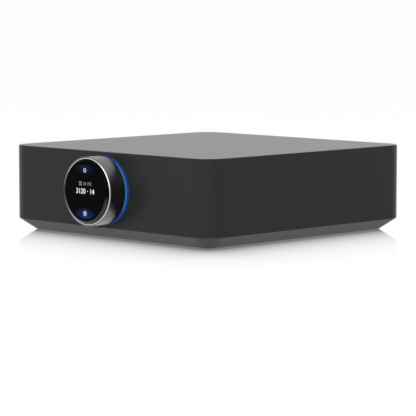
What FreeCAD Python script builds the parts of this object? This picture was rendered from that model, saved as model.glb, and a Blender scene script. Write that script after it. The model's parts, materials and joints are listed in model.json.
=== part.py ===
# Compact streaming amplifier with a rotary knob round a fixed display.
# Frame: X to the right, Y to the back, Z up, origin on the table under the middle of the housing.
# All sizes are in millimetres.

import FreeCAD, Part
import math
import os

# Cutting tools reach past what they cut, and fused shapes reach into each other
overshoot = 1.0
overlap = 0.5

# Housing
body_width = 222.0
body_depth = 222.0
body_height = 66.7
corner_radius = 16.7
edge_round = 1.0
wall = 3.0
roof_thickness = 3.5

# Base tray, its chamfered skirt and its vent slots
skirt_height = 8.6
skirt_inset = 11.2
skirt_corner_radius = 10.7
floor_thickness = 2.5
tray_rim = 5.3
pocket_floor_corner = 7.4
lip_height = 2.0
lip_thickness = 2.0
lip_clearance = 0.3
vent_width = 3.0
vent_end_radius = 1.4
vent_length = 60.0
vent_pitch = 9.0
vents_per_side = 6
vent_side_inset = 56.0

# Feet and the screws that hold the tray
foot_radius = 9.0
foot_proud = 0.5
foot_recess = 1.0
foot_clearance = 0.25
foot_inset = 35.0
boss_radius = 5.0
boss_inset = 21.0
boss_web = 3.0
boss_web_lift = 1.0
screw_tip_room = 1.0
screw_clearance = 0.1
tray_screw_radius = 1.5
tray_screw_head_radius = 2.8
tray_screw_head_height = 1.4
tray_screw_length = 12.0
tray_screw_recess = 0.2

# Knob, its axis and its bearing
knob_drop = 0.1
knob_margin = 2.7
knob_gap = 3.1
knob_reach = 18.5
knob_wall = 1.25
knob_back_round = 0.3
trim_height = 0.7
trim_spigot_depth = 1.5
trim_spigot_thickness = 0.6
trim_chamfer = 0.4
trim_inner_chamfer = 0.25
rim_thickening = 0.7
hub_setback = 1.2
hub_wall = 2.15
hub_length = 7.9
web_thickness = 2.5
spindle_inset = 10.85
spindle_wall = 4.5
bush_wall = 1.9
running_clearance = 0.05
thrust_clearance = 0.15
bush_flange_reach = 1.9
bush_flange_thickness = 0.95
collar_width = 1.3
retaining_ring_thickness = 0.8
retaining_ring_reach = 3.3
retaining_groove_depth = 0.6
retaining_ring_opening = 40.0

# Encoder behind the knob's web
magnet_height = 4.1
magnet_width = 3.4
magnet_inset = 0.8
encoder_board_thickness = 1.0
encoder_chip = 3.0
encoder_chip_height = 1.0

# Display in the knob
glass_clearance = 0.4
glass_thickness = 2.9
glass_edge_round = 2.4
display_thickness = 2.2
display_clearance = 0.2
carrier_floor = 1.2
carrier_rim = 1.6
carrier_gap = 0.9
carrier_spigot_length = 4.0
carrier_spigot_wall = 1.5
carrier_spigot_clearance = 0.1

# Light ring and its lamps
light_ring_height = 2.7
light_ring_inset = 1.05
light_ring_hub_gap = 0.3
light_throat_inset = 3.35
light_throat_length = 6.5
ring_clearance = 0.2
led_board_thickness = 1.6
led_height = 0.8
led_size = 2.0
led_count = 12
led_gap = 0.2
led_board_clearance = 0.4
led_shelf_width = 1.0

# Spindle housing behind the front wall
cup_depth = 9.0
cup_wall = 2.0
cup_floor = 2.0
flange_side_margin = 4.8
flange_end_margin = 1.8
flange_thickness = 2.5
flange_corner = 6.0
housing_screw_side_inset = 5.5
housing_screw_end_inset = 4.5
housing_screw_radius = 1.25
housing_screw_head_radius = 2.2
housing_screw_head_height = 1.6
housing_screw_bite = 1.8

# Cable from the display to the main board
cable_width = 8.0
cable_thickness = 0.3
cable_bend = 6.0
cable_run_behind = 12.0

# Rear window and panel
panel_margin = 25.0
panel_roof_gap = 1.7
panel_floor_gap = 0.9
panel_thickness = 2.5
panel_inset = 1.0
panel_corner = 4.0
panel_clearance = 0.3
ledge_width = 7.0
ledge_share = 5.0 / 22.0
ledge_depth = 4.5
frame_margin = 3.0
panel_screw_radius = 1.4
panel_screw_head_radius = 2.4
panel_screw_head_height = 1.6
panel_screw_length = 7.0

# Circuit boards and their posts
board_thickness = 1.6
board_post_height = 9.0
board_side_gap = 12.0
board_rear_gap = 10.0
board_front_gap = 21.0
board_gap = 3.0
power_board_share = 30.0
main_board_share = 28.0
amplifier_board_share = 35.0
boss_notch = 2.0
boss_reach = 12.0
boss_detour = 20.0
notch_reach = 30.0
board_post_size = 5.5
board_screw_inset = 4.5
board_screw_radius = 1.4
board_screw_head_radius = 2.6
board_screw_head_height = 1.8
board_screw_bite = 5.0

# Upright boards behind the rear panel
jack_depth = 21.0
jack_proud = 0.3
io_board_margin = 4.0
io_board_height = 42.0
terminal_board_setback = 14.5
terminal_board_margin = 2.3
terminal_board_height = 42.0

# Speaker binding posts
post_column_from_edge = 24.0
post_pitch = 19.0
post_row_share = 9.5 / 22.0
post_shaft_radius = 2.9
post_shaft_reach = 17.5
post_bore_radius = 2.05
post_bore_depth = 10.0
post_wire_hole_radius = 1.5
post_wire_hole_offset = 5.2
post_flange_radius = 7.2
post_flange_thickness = 2.5
post_flange_chamfer = 0.6
post_neck_radius = 4.5
post_nut_size = 10.0
post_nut_thickness = 2.4
cap_radius = 6.2
cap_gap = 0.3
cap_length = 18.7
cap_end_wall = 2.5
cap_back_chamfer = 0.5
cap_front_chamfer = 0.8
cap_mouth_radius = 2.6
cap_skirt_length = 5.6
cap_skirt_clearance = 0.4
cap_flutes = 6
cap_flute_radius = 2.6
cap_flute_depth = 0.7
cap_flute_back = 2.0
cap_flute_front = 2.5
insert_wall = 1.3
insert_clearance = 0.05

# Signal jacks. The shares divide the free width between the mains inlet and the terminal board.
inlet_gap_share = 9.5
network_gap_share = 5.5
hdmi_gap_share = 4.5
sub_gap_share = 3.5
rca_gap_share = 7.0
jack_row_margin = 7.5
rca_barrel_radius = 4.15
rca_barrel_wall = 0.75
rca_barrel_reach = 9.0
rca_flange_radius = 5.7
rca_flange_thickness = 1.4
rca_body_radius = 6.0
rca_pin_hole_radius = 1.6
rca_pin_hole_depth = 9.0
rca_core_setback = 1.5
optical_size = 10.0
optical_cavity_width = 8.4
optical_cavity_height = 7.4
optical_cavity_depth = 14.0
flap_thickness = 0.8
flap_side_clearance = 0.2
flap_pin_radius = 0.45
flap_setback = 0.8
flap_hinge_drop = 0.6
flap_pin_end_gap = 0.1
usb_width = 13.1
usb_height = 5.9
hdmi_width = 15.0
hdmi_height = 5.7
hdmi_bevel = 1.8
jack_shell = 0.4
jack_cavity_depth = 12.0
tongue_width_share = 0.78
usb_tongue_height = 1.8
hdmi_tongue_height = 1.1
tongue_setback = 1.0
network_width = 16.0
network_height = 13.6
network_cavity_width = 11.8
network_cavity_height = 7.6
network_cavity_depth = 13.0
network_latch_width = 6.2
network_latch_height = 2.4
network_roof = 1.5
jack_hole_clearance = 0.2
button_radius = 2.0
button_flange_radius = 3.2
button_flange_thickness = 1.6
button_proud = 0.6
button_travel = 0.8
button_stem_radius = 1.5
button_hole_clearance = 0.15
button_play = 0.1
switch_size = 6.0
switch_height = 3.7

# Mains inlet
inlet_from_edge = 22.0
inlet_width = 25.0
inlet_height = 16.0
inlet_length = 18.0
inlet_lobe_radius = 4.2
inlet_lobe_offset = 4.3
inlet_recess_depth = 12.0
inlet_pin_radius = 1.2
inlet_pin_setback = 2.0
inlet_foot_depth = 5.0
inlet_lift = 1.5
inlet_pin_root = 2.0
inlet_middle_share = 0.8

# Power stage and power supply
sink_width = 52.0
sink_length = 70.0
sink_base = 5.0
sink_height = 34.0
sink_fins = 8
sink_fin_thickness = 2.0
chip_width = 9.0
chip_length = 14.0
chip_height = 1.5
chip_pitch = 30.0
inductor_size = 12.0
inductor_height = 8.0
inductor_bevel = 3.0
inductor_pitch = 16.0
inductor_clearance_from_sink = 4.0
core_width = 36.0
core_depth = 14.0
core_height = 30.0
core_yoke = 5.0
core_leg = 10.0
transformer_y = 8.0
winding_clearance = 0.3
winding_overhang = 7.0
winding_corner = 4.0
capacitor_radius = 9.0
capacitor_height = 32.0
capacitor_pitch = 21.0
capacitor_crimp = 0.8
capacitor_crimp_height = 3.2
capacitor_crimp_half_width = 0.7
capacitor_chamfer = 0.6
capacitor_y = -38.0
choke_outer_radius = 12.0
choke_inner_radius = 5.0
choke_height = 10.0
choke_y = 56.0
module_width = 34.0
module_length = 46.0
module_height = 4.5
module_board_margin = 2.0
module_board_thickness = 1.0
module_edge_round = 0.8
antenna_width = 12.0
antenna_height = 11.0
antenna_thickness = 0.8
antenna_pitch = 16.0
antenna_low_share = 6.0
antenna_high_share = 5.0

# Places worked out from the sizes above
half_width = body_width / 2
half_depth = body_depth / 2
base_z = foot_proud
wall_z = base_z + skirt_height
top_z = base_z + body_height
floor_z = base_z + floor_thickness
roof_z = top_z - roof_thickness
front_y = -half_depth
rear_y = half_depth
inner_half_width = half_width - wall
inner_half_depth = half_depth - wall
inner_corner = corner_radius - wall
foot_x = half_width - foot_inset
foot_y = half_depth - foot_inset
boss_x = half_width - boss_inset
boss_y = half_depth - boss_inset

wall_height = top_z - wall_z
knob_z = wall_z + wall_height / 2 - knob_drop
knob_radius = wall_height / 2 - knob_margin
spindle_radius = knob_radius - spindle_inset
spindle_bore = spindle_radius - spindle_wall
bush_radius = spindle_radius + bush_wall
hub_bore = bush_radius + running_clearance
hub_radius = hub_bore + hub_wall
knob_inner_radius = knob_radius - knob_wall
trim_p = knob_reach - trim_height
hub_back_p = knob_gap + hub_setback
hub_front_p = hub_back_p + hub_length
web_back_p = hub_front_p - web_thickness
bush_front_p = hub_front_p + thrust_clearance
bush_seat_p = hub_back_p - thrust_clearance - bush_flange_thickness
ring_p = bush_front_p + thrust_clearance
ring_front_p = ring_p + retaining_ring_thickness
spindle_end_p = ring_front_p + carrier_gap
carrier_floor_p = spindle_end_p + carrier_floor
glass_p = carrier_floor_p + display_thickness
glass_front_p = glass_p + glass_thickness
glass_radius = knob_inner_radius - glass_clearance
carrier_bore = spindle_bore - carrier_spigot_clearance - carrier_spigot_wall
display_radius = glass_radius - carrier_rim - display_clearance
web_outer_radius = knob_inner_radius - rim_thickening
light_ring_radius = knob_radius - light_ring_inset
light_ring_bore = hub_radius + light_ring_hub_gap
light_throat_radius = knob_radius - light_throat_inset
opening_radius = light_throat_radius + ring_clearance
flange_half_width = opening_radius + flange_side_margin
flange_half_height = opening_radius + flange_end_margin
housing_screw_x = flange_half_width - housing_screw_side_inset
housing_screw_z = flange_half_height - housing_screw_end_inset
led_board_p = -light_throat_length - led_gap - led_height - led_board_thickness
cup_floor_p = -wall - cup_depth

frame_low = wall_z + lip_height + panel_floor_gap
frame_high = roof_z - panel_roof_gap
panel_half_width = half_width - panel_margin
panel_half_height = (frame_high - frame_low) / 2 - frame_margin
panel_z = (frame_low + frame_high) / 2
ledge_height = panel_half_height * ledge_share
panel_outer_y = rear_y - panel_inset
panel_inner_y = panel_outer_y - panel_thickness
window_half_width = panel_half_width - ledge_width
window_half_height = panel_half_height - ledge_height
frame_y = panel_inner_y - ledge_depth
panel_screw_x = panel_half_width - ledge_width / 2
panel_screw_z = panel_half_height - ledge_height / 2
jack_row = window_half_height - jack_row_margin
upper_z = panel_z + jack_row
lower_z = panel_z - jack_row
post_row = panel_half_height * post_row_share

board_z = floor_z + board_post_height
board_top = board_z + board_thickness
board_rear_y = inner_half_depth - board_rear_gap
board_front_y = -inner_half_depth + board_front_gap
board_room = 2 * (inner_half_width - board_side_gap - board_gap)
board_unit = board_room / (power_board_share + main_board_share + amplifier_board_share)
power_left = -inner_half_width + board_side_gap
power_right = power_left + board_unit * power_board_share
amplifier_right = inner_half_width - board_side_gap
amplifier_left = amplifier_right - board_unit * amplifier_board_share
main_left = power_right + board_gap
main_right = amplifier_left - board_gap
power_x = (power_left + power_right) / 2
main_x = (main_left + main_right) / 2
amplifier_x = (amplifier_left + amplifier_right) / 2

jack_face_y = panel_outer_y + jack_proud
io_board_y = jack_face_y - jack_depth
terminal_board_y = panel_inner_y - terminal_board_setback
post_x = panel_half_width - post_column_from_edge
inlet_x = -panel_half_width + inlet_from_edge
inlet_z = panel_z - window_half_height + inlet_height / 2 + inlet_lift
inlet_right = inlet_x + inlet_width / 2
terminal_left = post_x - post_pitch - post_flange_radius - terminal_board_margin

jack_room = terminal_left - inlet_right - network_width - hdmi_width - 4 * rca_body_radius
jack_unit = jack_room / (inlet_gap_share + network_gap_share + hdmi_gap_share + sub_gap_share + rca_gap_share)
network_column_x = inlet_right + jack_unit * inlet_gap_share + network_width / 2
hdmi_left = network_column_x + network_width / 2 + jack_unit * network_gap_share
hdmi_column_x = hdmi_left + hdmi_width / 2
sub_left = hdmi_left + hdmi_width + jack_unit * hdmi_gap_share
sub_column_x = sub_left + rca_body_radius
rca_column_x = sub_column_x + 2 * rca_body_radius + jack_unit * sub_gap_share

os.makedirs("parts", exist_ok=True)


# Shape helpers

def vec(x, y, z):
    return FreeCAD.Vector(x, y, z)


def box(x0, x1, y0, y1, z0, z1):
    return Part.makeBox(x1 - x0, y1 - y0, z1 - z0, vec(x0, y0, z0))


def rod_y(radius, x, z, y0, y1):
    return Part.makeCylinder(radius, y1 - y0, vec(x, y0, z), vec(0, 1, 0))


def rod_z(radius, x, y, z0, z1):
    return Part.makeCylinder(radius, z1 - z0, vec(x, y, z0), vec(0, 0, 1))


def rod_x(radius, y, z, x0, x1):
    return Part.makeCylinder(radius, x1 - x0, vec(x0, y, z), vec(1, 0, 0))


def rounded_outline(half_u, half_v, radius, place):
    """Closed outline of a rounded rectangle. place turns plane coordinates into a point in space."""
    edges = []
    cu = half_u - radius
    cv = half_v - radius
    centres = [(cu, cv), (-cu, cv), (-cu, -cv), (cu, -cv)]
    quarter = math.pi / 2

    def arc_point(i, turn):
        u, v = centres[i]
        angle = quarter * i + turn
        return place(u + radius * math.cos(angle), v + radius * math.sin(angle))

    for i in range(4):
        arc = Part.Arc(arc_point(i, 0), arc_point(i, quarter / 2), arc_point(i, quarter))
        edges.append(arc.toShape())
        edges.append(Part.makeLine(arc_point(i, quarter), arc_point((i + 1) % 4, 0)))
    return Part.Wire(edges)


def plan_outline(half_x, half_y, radius, z):
    return rounded_outline(half_x, half_y, radius, lambda u, v: vec(u, v, z))


def rounded_slab(half_x, half_y, radius, z0, z1):
    face = Part.Face(plan_outline(half_x, half_y, radius, z0))
    return face.extrude(vec(0, 0, z1 - z0))


def rounded_plate_y(x, z, half_x, half_z, radius, y0, y1):
    """Rounded rectangle that stands upright, facing along Y."""
    outline = rounded_outline(half_x, half_z, radius, lambda u, v: vec(x + u, y0, z + v))
    return Part.Face(outline).extrude(vec(0, y1 - y0, 0))


def turned(points, x, z, y_of):
    """Solid turned about an axis along Y. Points are pairs of radius and distance along the axis."""
    corners = [vec(x + radius, y_of(along), z) for radius, along in points]
    outline = Part.makePolygon(corners + [corners[0]])
    return Part.Face(outline).revolve(vec(x, 0, z), vec(0, 1, 0), 360)


def ahead(p):
    """Place on the Y axis at a distance p in front of the front wall."""
    return front_y - p


def turned_front(points):
    return turned(points, 0, knob_z, ahead)


def turned_rear(points, x, z):
    return turned(points, x, z, lambda y: y)


def polygon_prism(points, direction):
    outline = Part.makePolygon(points + [points[0]])
    return Part.Face(outline).extrude(direction)


def hexagon_z(across_flats, x, y, z0, z1):
    reach = across_flats / math.sqrt(3)
    corners = []
    for i in range(6):
        angle = math.radians(60 * i)
        corners.append(vec(x + reach * math.cos(angle), y + reach * math.sin(angle), z0))
    return polygon_prism(corners, vec(0, 0, z1 - z0))


def hexagon_y(across_flats, x, z, y0, y1):
    reach = across_flats / math.sqrt(3)
    corners = []
    for i in range(6):
        angle = math.radians(60 * i + 30)
        corners.append(vec(x + reach * math.cos(angle), y0, z + reach * math.sin(angle)))
    return polygon_prism(corners, vec(0, y1 - y0, 0))


def edges_at_z(shape, z):
    return [e for e in shape.Edges if abs(e.BoundBox.ZMin - z) < 1e-4 and abs(e.BoundBox.ZMax - z) < 1e-4]


def cut_all(shape, tools):
    for tool in tools:
        shape = shape.cut(tool)
    return shape


def fuse_all(shape, others):
    for other in others:
        shape = shape.fuse(other)
    return shape.removeSplitter()


def four(spread_x, spread_y):
    return [(sx * spread_x, sy * spread_y) for sx in (-1, 1) for sy in (-1, 1)]


def save(name, shapes):
    """Write one sub-part. A list becomes a group of separate solids."""
    if isinstance(shapes, list):
        shapes = Part.makeCompound(shapes)
    shapes.exportStep("parts/" + name + ".step")


# Housing

def panel_screw_places():
    places = [(x, panel_z + z) for x, z in four(panel_screw_x, panel_screw_z)]
    places.append((0, panel_z + panel_screw_z))
    places.append((0, panel_z - panel_screw_z))
    return places


def housing_screw_places():
    return [(x, knob_z + z) for x, z in four(housing_screw_x, housing_screw_z)]


def enclosure_shell():
    outer = rounded_slab(half_width, half_depth, corner_radius, wall_z, top_z)
    outer = outer.makeFillet(edge_round, edges_at_z(outer, top_z))
    shell = outer.cut(rounded_slab(inner_half_width, inner_half_depth, inner_corner,
                                   wall_z - overshoot, roof_z))

    # Corner bosses for the tray's screws, each tied to its corner by a web
    web_end = math.sqrt(2) * (boss_inset - corner_radius) + corner_radius - wall / 2
    for x, y in four(boss_x, boss_y):
        shell = shell.fuse(rod_z(boss_radius, x, y, floor_z, roof_z + overlap))
        web = box(boss_radius - overlap, web_end, -boss_web / 2, boss_web / 2,
                  wall_z + lip_height + boss_web_lift, roof_z + overlap)
        corner_angle = math.atan2(math.copysign(1, y), math.copysign(1, x))
        web.rotate(vec(0, 0, 0), vec(0, 0, 1), math.degrees(corner_angle))
        web.translate(vec(x, y, 0))
        shell = shell.fuse(web)
        hole_top = base_z + tray_screw_length + screw_tip_room
        shell = shell.cut(rod_z(tray_screw_radius, x, y, floor_z - overshoot, hole_top))

    # Rear window with the ledge that the panel is screwed to
    frame = rounded_plate_y(0, panel_z, panel_half_width + frame_margin, panel_half_height + frame_margin,
                            panel_corner + frame_margin, frame_y, inner_half_depth + overlap)
    pocket = rounded_plate_y(0, panel_z, panel_half_width, panel_half_height, panel_corner,
                             panel_inner_y, rear_y + overshoot)
    window = rounded_plate_y(0, panel_z, window_half_width, window_half_height, panel_corner,
                             frame_y - overshoot, rear_y + overshoot)
    shell = cut_all(shell.fuse(frame), [pocket, window])
    for x, z in panel_screw_places():
        shell = shell.cut(rod_y(panel_screw_radius, x, z, frame_y - overshoot, rear_y))

    # Front opening for the light ring and blind holes for the spindle housing
    shell = shell.cut(rod_y(opening_radius, 0, knob_z, front_y - overshoot, front_y + wall + overshoot))
    for x, z in housing_screw_places():
        shell = shell.cut(rod_y(housing_screw_radius, x, z, ahead(-wall + housing_screw_bite),
                                ahead(-wall - overshoot)))
    return shell.removeSplitter()


def vent_slots():
    slots = []
    straight = (vent_length - vent_width) / 2
    for side in (-1, 1):
        for i in range(vents_per_side):
            x = side * (half_width - vent_side_inset) + (i - (vents_per_side - 1) / 2) * vent_pitch
            slot = rounded_slab(vent_width / 2, straight + vent_width / 2, vent_end_radius,
                                base_z - overshoot, floor_z + overshoot)
            slot.translate(vec(x, 0, 0))
            slots.append(slot)
    return slots


def base_tray():
    foot_half_width = half_width - skirt_inset
    foot_half_depth = half_depth - skirt_inset
    outer = Part.makeLoft([plan_outline(foot_half_width, foot_half_depth, skirt_corner_radius, base_z),
                           plan_outline(half_width, half_depth, corner_radius, wall_z)], True, True)
    slope = skirt_inset / skirt_height
    pocket_drop = (wall_z - floor_z) * slope
    rim_half_width = half_width - tray_rim
    rim_half_depth = half_depth - tray_rim
    rim_corner = corner_radius - tray_rim
    pocket = Part.makeLoft([plan_outline(rim_half_width - pocket_drop, rim_half_depth - pocket_drop,
                                         pocket_floor_corner, floor_z),
                            plan_outline(rim_half_width, rim_half_depth, rim_corner, wall_z)], True, True)
    tray = outer.cut(pocket)

    # Upright lip that locates the shell
    lip_half_width = inner_half_width - lip_clearance
    lip_half_depth = inner_half_depth - lip_clearance
    lip_corner = inner_corner - lip_clearance
    lip = rounded_slab(lip_half_width, lip_half_depth, lip_corner, wall_z - overlap, wall_z + lip_height)
    lip = lip.cut(rounded_slab(lip_half_width - lip_thickness, lip_half_depth - lip_thickness,
                               lip_corner - lip_thickness, wall_z - overshoot, wall_z + lip_height + overshoot))
    tray = tray.fuse(lip)
    tray = cut_all(tray, vent_slots())
    for x, y in four(foot_x, foot_y):
        tray = tray.cut(rod_z(foot_radius + foot_clearance, x, y, base_z - overshoot, base_z + foot_recess))
    for x, y in four(boss_x, boss_y):
        tray = tray.cut(rod_z(tray_screw_radius + foot_clearance, x, y, base_z - overshoot,
                              floor_z + overshoot))
        tray = tray.cut(rod_z(tray_screw_head_radius + foot_clearance, x, y, base_z - overshoot,
                              base_z + tray_screw_head_height))
    return tray.removeSplitter()


def foot_pads():
    return [rod_z(foot_radius, x, y, 0, base_z + foot_recess) for x, y in four(foot_x, foot_y)]


def tray_screws():
    screws = []
    for x, y in four(boss_x, boss_y):
        seat = base_z + tray_screw_head_height
        head = rod_z(tray_screw_head_radius, x, y, base_z + tray_screw_recess, seat)
        screws.append(head.fuse(rod_z(tray_screw_radius, x, y, seat, base_z + tray_screw_length)))
    return screws


# Knob, bearing, display and light ring

def knob_ring():
    points = [
        (hub_bore, hub_back_p), (hub_radius, hub_back_p), (hub_radius, web_back_p),
        (web_outer_radius, web_back_p), (web_outer_radius, knob_gap),
        (knob_radius - knob_back_round, knob_gap), (knob_radius, knob_gap + knob_back_round),
        (knob_radius, trim_p), (knob_inner_radius + trim_spigot_thickness + running_clearance, trim_p),
        (knob_inner_radius + trim_spigot_thickness + running_clearance, trim_p - trim_spigot_depth),
        (knob_inner_radius, trim_p - trim_spigot_depth), (knob_inner_radius, hub_front_p),
        (hub_bore, hub_front_p),
    ]
    return turned_front(points)


def knob_trim_ring():
    spigot_radius = knob_inner_radius + trim_spigot_thickness
    points = [
        (knob_inner_radius, trim_p - trim_spigot_depth), (spigot_radius, trim_p - trim_spigot_depth),
        (spigot_radius, trim_p), (knob_radius, trim_p), (knob_radius, knob_reach - trim_chamfer),
        (knob_radius - trim_chamfer, knob_reach), (knob_inner_radius + trim_inner_chamfer, knob_reach),
        (knob_inner_radius, knob_reach - trim_inner_chamfer),
    ]
    return turned_front(points)


def spindle_housing():
    collar_radius = spindle_radius + collar_width
    shelf_radius = light_throat_radius - led_shelf_width
    cup_radius = opening_radius + cup_wall
    groove_radius = spindle_radius - retaining_groove_depth
    back_p = cup_floor_p - cup_floor
    points = [
        (spindle_bore, back_p), (cup_radius, back_p), (cup_radius, -wall - overlap),
        (opening_radius, -wall - overlap),
        (opening_radius, led_board_p), (shelf_radius, led_board_p), (shelf_radius, cup_floor_p),
        (collar_radius, cup_floor_p), (collar_radius, bush_seat_p), (spindle_radius, bush_seat_p),
        (spindle_radius, ring_p), (groove_radius, ring_p), (groove_radius, ring_front_p),
        (spindle_radius, ring_front_p), (spindle_radius, spindle_end_p), (spindle_bore, spindle_end_p),
    ]
    housing = turned_front(points)
    flange = rounded_plate_y(0, knob_z, flange_half_width, flange_half_height, flange_corner,
                             ahead(-wall), ahead(-wall - flange_thickness))
    flange_back = ahead(-wall - flange_thickness - overshoot)
    flange = flange.cut(rod_y(opening_radius, 0, knob_z, ahead(-wall + overshoot), flange_back))
    for x, z in housing_screw_places():
        flange = flange.cut(rod_y(housing_screw_radius + screw_clearance, x, z, ahead(0), flange_back))
    return housing.fuse(flange).removeSplitter()


def housing_screws():
    screws = []
    seat = ahead(-wall - flange_thickness)
    for x, z in housing_screw_places():
        shank = rod_y(housing_screw_radius, x, z, ahead(-wall + housing_screw_bite), seat)
        head = rod_y(housing_screw_head_radius, x, z, seat, seat + housing_screw_head_height)
        screws.append(shank.fuse(head))
    return screws


def spindle_bush():
    flange_radius = bush_radius + bush_flange_reach
    flange_top = bush_seat_p + bush_flange_thickness
    points = [
        (spindle_radius, bush_seat_p), (flange_radius, bush_seat_p), (flange_radius, flange_top),
        (bush_radius, flange_top), (bush_radius, bush_front_p), (spindle_radius, bush_front_p),
    ]
    return turned_front(points)


def retaining_ring():
    inner = spindle_radius - retaining_groove_depth
    outer = spindle_radius + retaining_ring_reach
    ring = turned_front([(inner, ring_p), (outer, ring_p), (outer, ring_front_p), (inner, ring_front_p)])
    reach = outer + overshoot
    spread = reach * math.tan(math.radians(retaining_ring_opening / 2))
    start = ahead(ring_p - overshoot)
    wedge = polygon_prism([vec(0, start, knob_z), vec(-spread, start, knob_z - reach),
                           vec(spread, start, knob_z - reach)],
                          vec(0, -retaining_ring_thickness - 2 * overshoot, 0))
    return ring.cut(wedge)


def encoder_magnet():
    outer = web_outer_radius - magnet_inset
    inner = outer - magnet_width
    low = web_back_p - magnet_height
    return turned_front([(inner, low), (outer, low), (outer, web_back_p), (inner, web_back_p)])


def encoder_board():
    top = light_ring_height + encoder_board_thickness
    outer = light_throat_radius
    board = turned_front([(light_ring_bore, light_ring_height), (outer, light_ring_height), (outer, top),
                          (light_ring_bore, top)])
    chip_z = knob_z - (light_ring_bore + outer) / 2
    chip = box(-encoder_chip / 2, encoder_chip / 2, ahead(top + encoder_chip_height), ahead(top),
               chip_z - encoder_chip / 2, chip_z + encoder_chip / 2)
    return board.fuse(chip).removeSplitter()


def light_ring():
    points = [
        (light_ring_bore, -light_throat_length), (light_throat_radius, -light_throat_length),
        (light_throat_radius, 0), (light_ring_radius, 0), (light_ring_radius, light_ring_height),
        (light_ring_bore, light_ring_height),
    ]
    return turned_front(points)


def led_board():
    top = led_board_p + led_board_thickness
    inner = spindle_radius + collar_width + led_board_clearance
    board = turned_front([(inner, led_board_p), (light_throat_radius, led_board_p),
                          (light_throat_radius, top), (inner, top)])
    ring_middle = (light_ring_bore + light_throat_radius) / 2
    lamps = []
    for i in range(led_count):
        lamp = box(ring_middle - led_size / 2, ring_middle + led_size / 2, ahead(top + led_height), ahead(top),
                   knob_z - led_size / 2, knob_z + led_size / 2)
        lamp.rotate(vec(0, 0, knob_z), vec(0, 1, 0), 360.0 * i / led_count)
        lamps.append(lamp)
    return fuse_all(board, lamps)


def display_carrier():
    spigot = spindle_bore - carrier_spigot_clearance
    low = spindle_end_p - carrier_spigot_length
    points = [
        (carrier_bore, low), (spigot, low), (spigot, spindle_end_p), (glass_radius, spindle_end_p),
        (glass_radius, glass_p), (glass_radius - carrier_rim, glass_p),
        (glass_radius - carrier_rim, carrier_floor_p), (carrier_bore, carrier_floor_p),
    ]
    return turned_front(points)


def display_module():
    return rod_y(display_radius, 0, knob_z, ahead(glass_p), ahead(carrier_floor_p))


def display_glass():
    glass = rod_y(glass_radius, 0, knob_z, ahead(glass_front_p), ahead(glass_p))
    front = [e for e in glass.Edges if abs(e.BoundBox.YMin - ahead(glass_front_p)) < 1e-4
             and abs(e.BoundBox.YMax - ahead(glass_front_p)) < 1e-4]
    return glass.makeFillet(glass_edge_round, front)


def display_cable():
    """Flat cable back through the hollow spindle, then down to the main board."""
    start = ahead(carrier_floor_p)
    turn_y = ahead(cup_floor_p - cup_floor - cable_run_behind)
    high = knob_z + cable_thickness / 2
    low = knob_z - cable_thickness / 2
    inner = cable_bend
    outer = cable_bend + cable_thickness
    centre_y = turn_y - outer
    centre_z = high - outer
    x = -cable_width / 2

    def on_bend(radius, degrees):
        angle = math.radians(degrees)
        return vec(x, centre_y + radius * math.cos(angle), centre_z + radius * math.sin(angle))

    edges = [
        Part.makeLine(vec(x, start, high), on_bend(outer, 90)),
        Part.Arc(on_bend(outer, 90), on_bend(outer, 45), on_bend(outer, 0)).toShape(),
        Part.makeLine(on_bend(outer, 0), vec(x, turn_y, board_top)),
        Part.makeLine(vec(x, turn_y, board_top), vec(x, turn_y - cable_thickness, board_top)),
        Part.makeLine(vec(x, turn_y - cable_thickness, board_top), on_bend(inner, 0)),
        Part.Arc(on_bend(inner, 0), on_bend(inner, 45), on_bend(inner, 90)).toShape(),
        Part.makeLine(on_bend(inner, 90), vec(x, start, low)),
        Part.makeLine(vec(x, start, low), vec(x, start, high)),
    ]
    return Part.Face(Part.Wire(edges)).extrude(vec(cable_width, 0, 0))


# Rear panel and what it carries

def post_places():
    """The four binding posts: name, x and z."""
    places = []
    for column, x in (("right", post_x), ("left", post_x - post_pitch)):
        for row, z in (("plus", panel_z + post_row), ("minus", panel_z - post_row)):
            places.append((column + "_" + row, x, z))
    return places


def rca_places():
    return [(rca_column_x, upper_z), (rca_column_x, lower_z), (sub_column_x, upper_z)]


def rear_panel():
    half_x = panel_half_width - panel_clearance
    half_z = panel_half_height - panel_clearance
    panel = rounded_plate_y(0, panel_z, half_x, half_z, panel_corner - panel_clearance,
                            panel_inner_y, panel_outer_y)
    low = panel_inner_y - overshoot
    high = panel_outer_y + overshoot
    holes = [rod_y(post_neck_radius, x, z, low, high) for name, x, z in post_places()]
    holes += [rod_y(rca_barrel_radius + jack_hole_clearance, x, z, low, high) for x, z in rca_places()]
    holes += [rod_y(panel_screw_radius + screw_clearance, x, z, low, high) for x, z in panel_screw_places()]
    holes.append(rod_y(button_radius + button_hole_clearance, network_column_x, upper_z, low, high))

    def square_hole(x, z, width, height):
        half_w = width / 2 + jack_hole_clearance
        half_h = height / 2 + jack_hole_clearance
        return box(x - half_w, x + half_w, low, high, z - half_h, z + half_h)

    holes.append(square_hole(sub_column_x, lower_z, optical_size, optical_size))
    holes.append(square_hole(hdmi_column_x, upper_z, hdmi_width, hdmi_height))
    holes.append(square_hole(hdmi_column_x, lower_z, usb_width, usb_height))
    holes.append(square_hole(network_column_x, lower_z, network_width, network_height))
    holes.append(square_hole(inlet_x, inlet_z, inlet_width, inlet_height))
    return cut_all(panel, holes)


def rear_panel_screws():
    screws = []
    for x, z in panel_screw_places():
        shank = rod_y(panel_screw_radius, x, z, panel_outer_y - panel_screw_length, panel_outer_y)
        head = rod_y(panel_screw_head_radius, x, z, panel_outer_y, panel_outer_y + panel_screw_head_height)
        screws.append(shank.fuse(head))
    return screws


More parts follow.
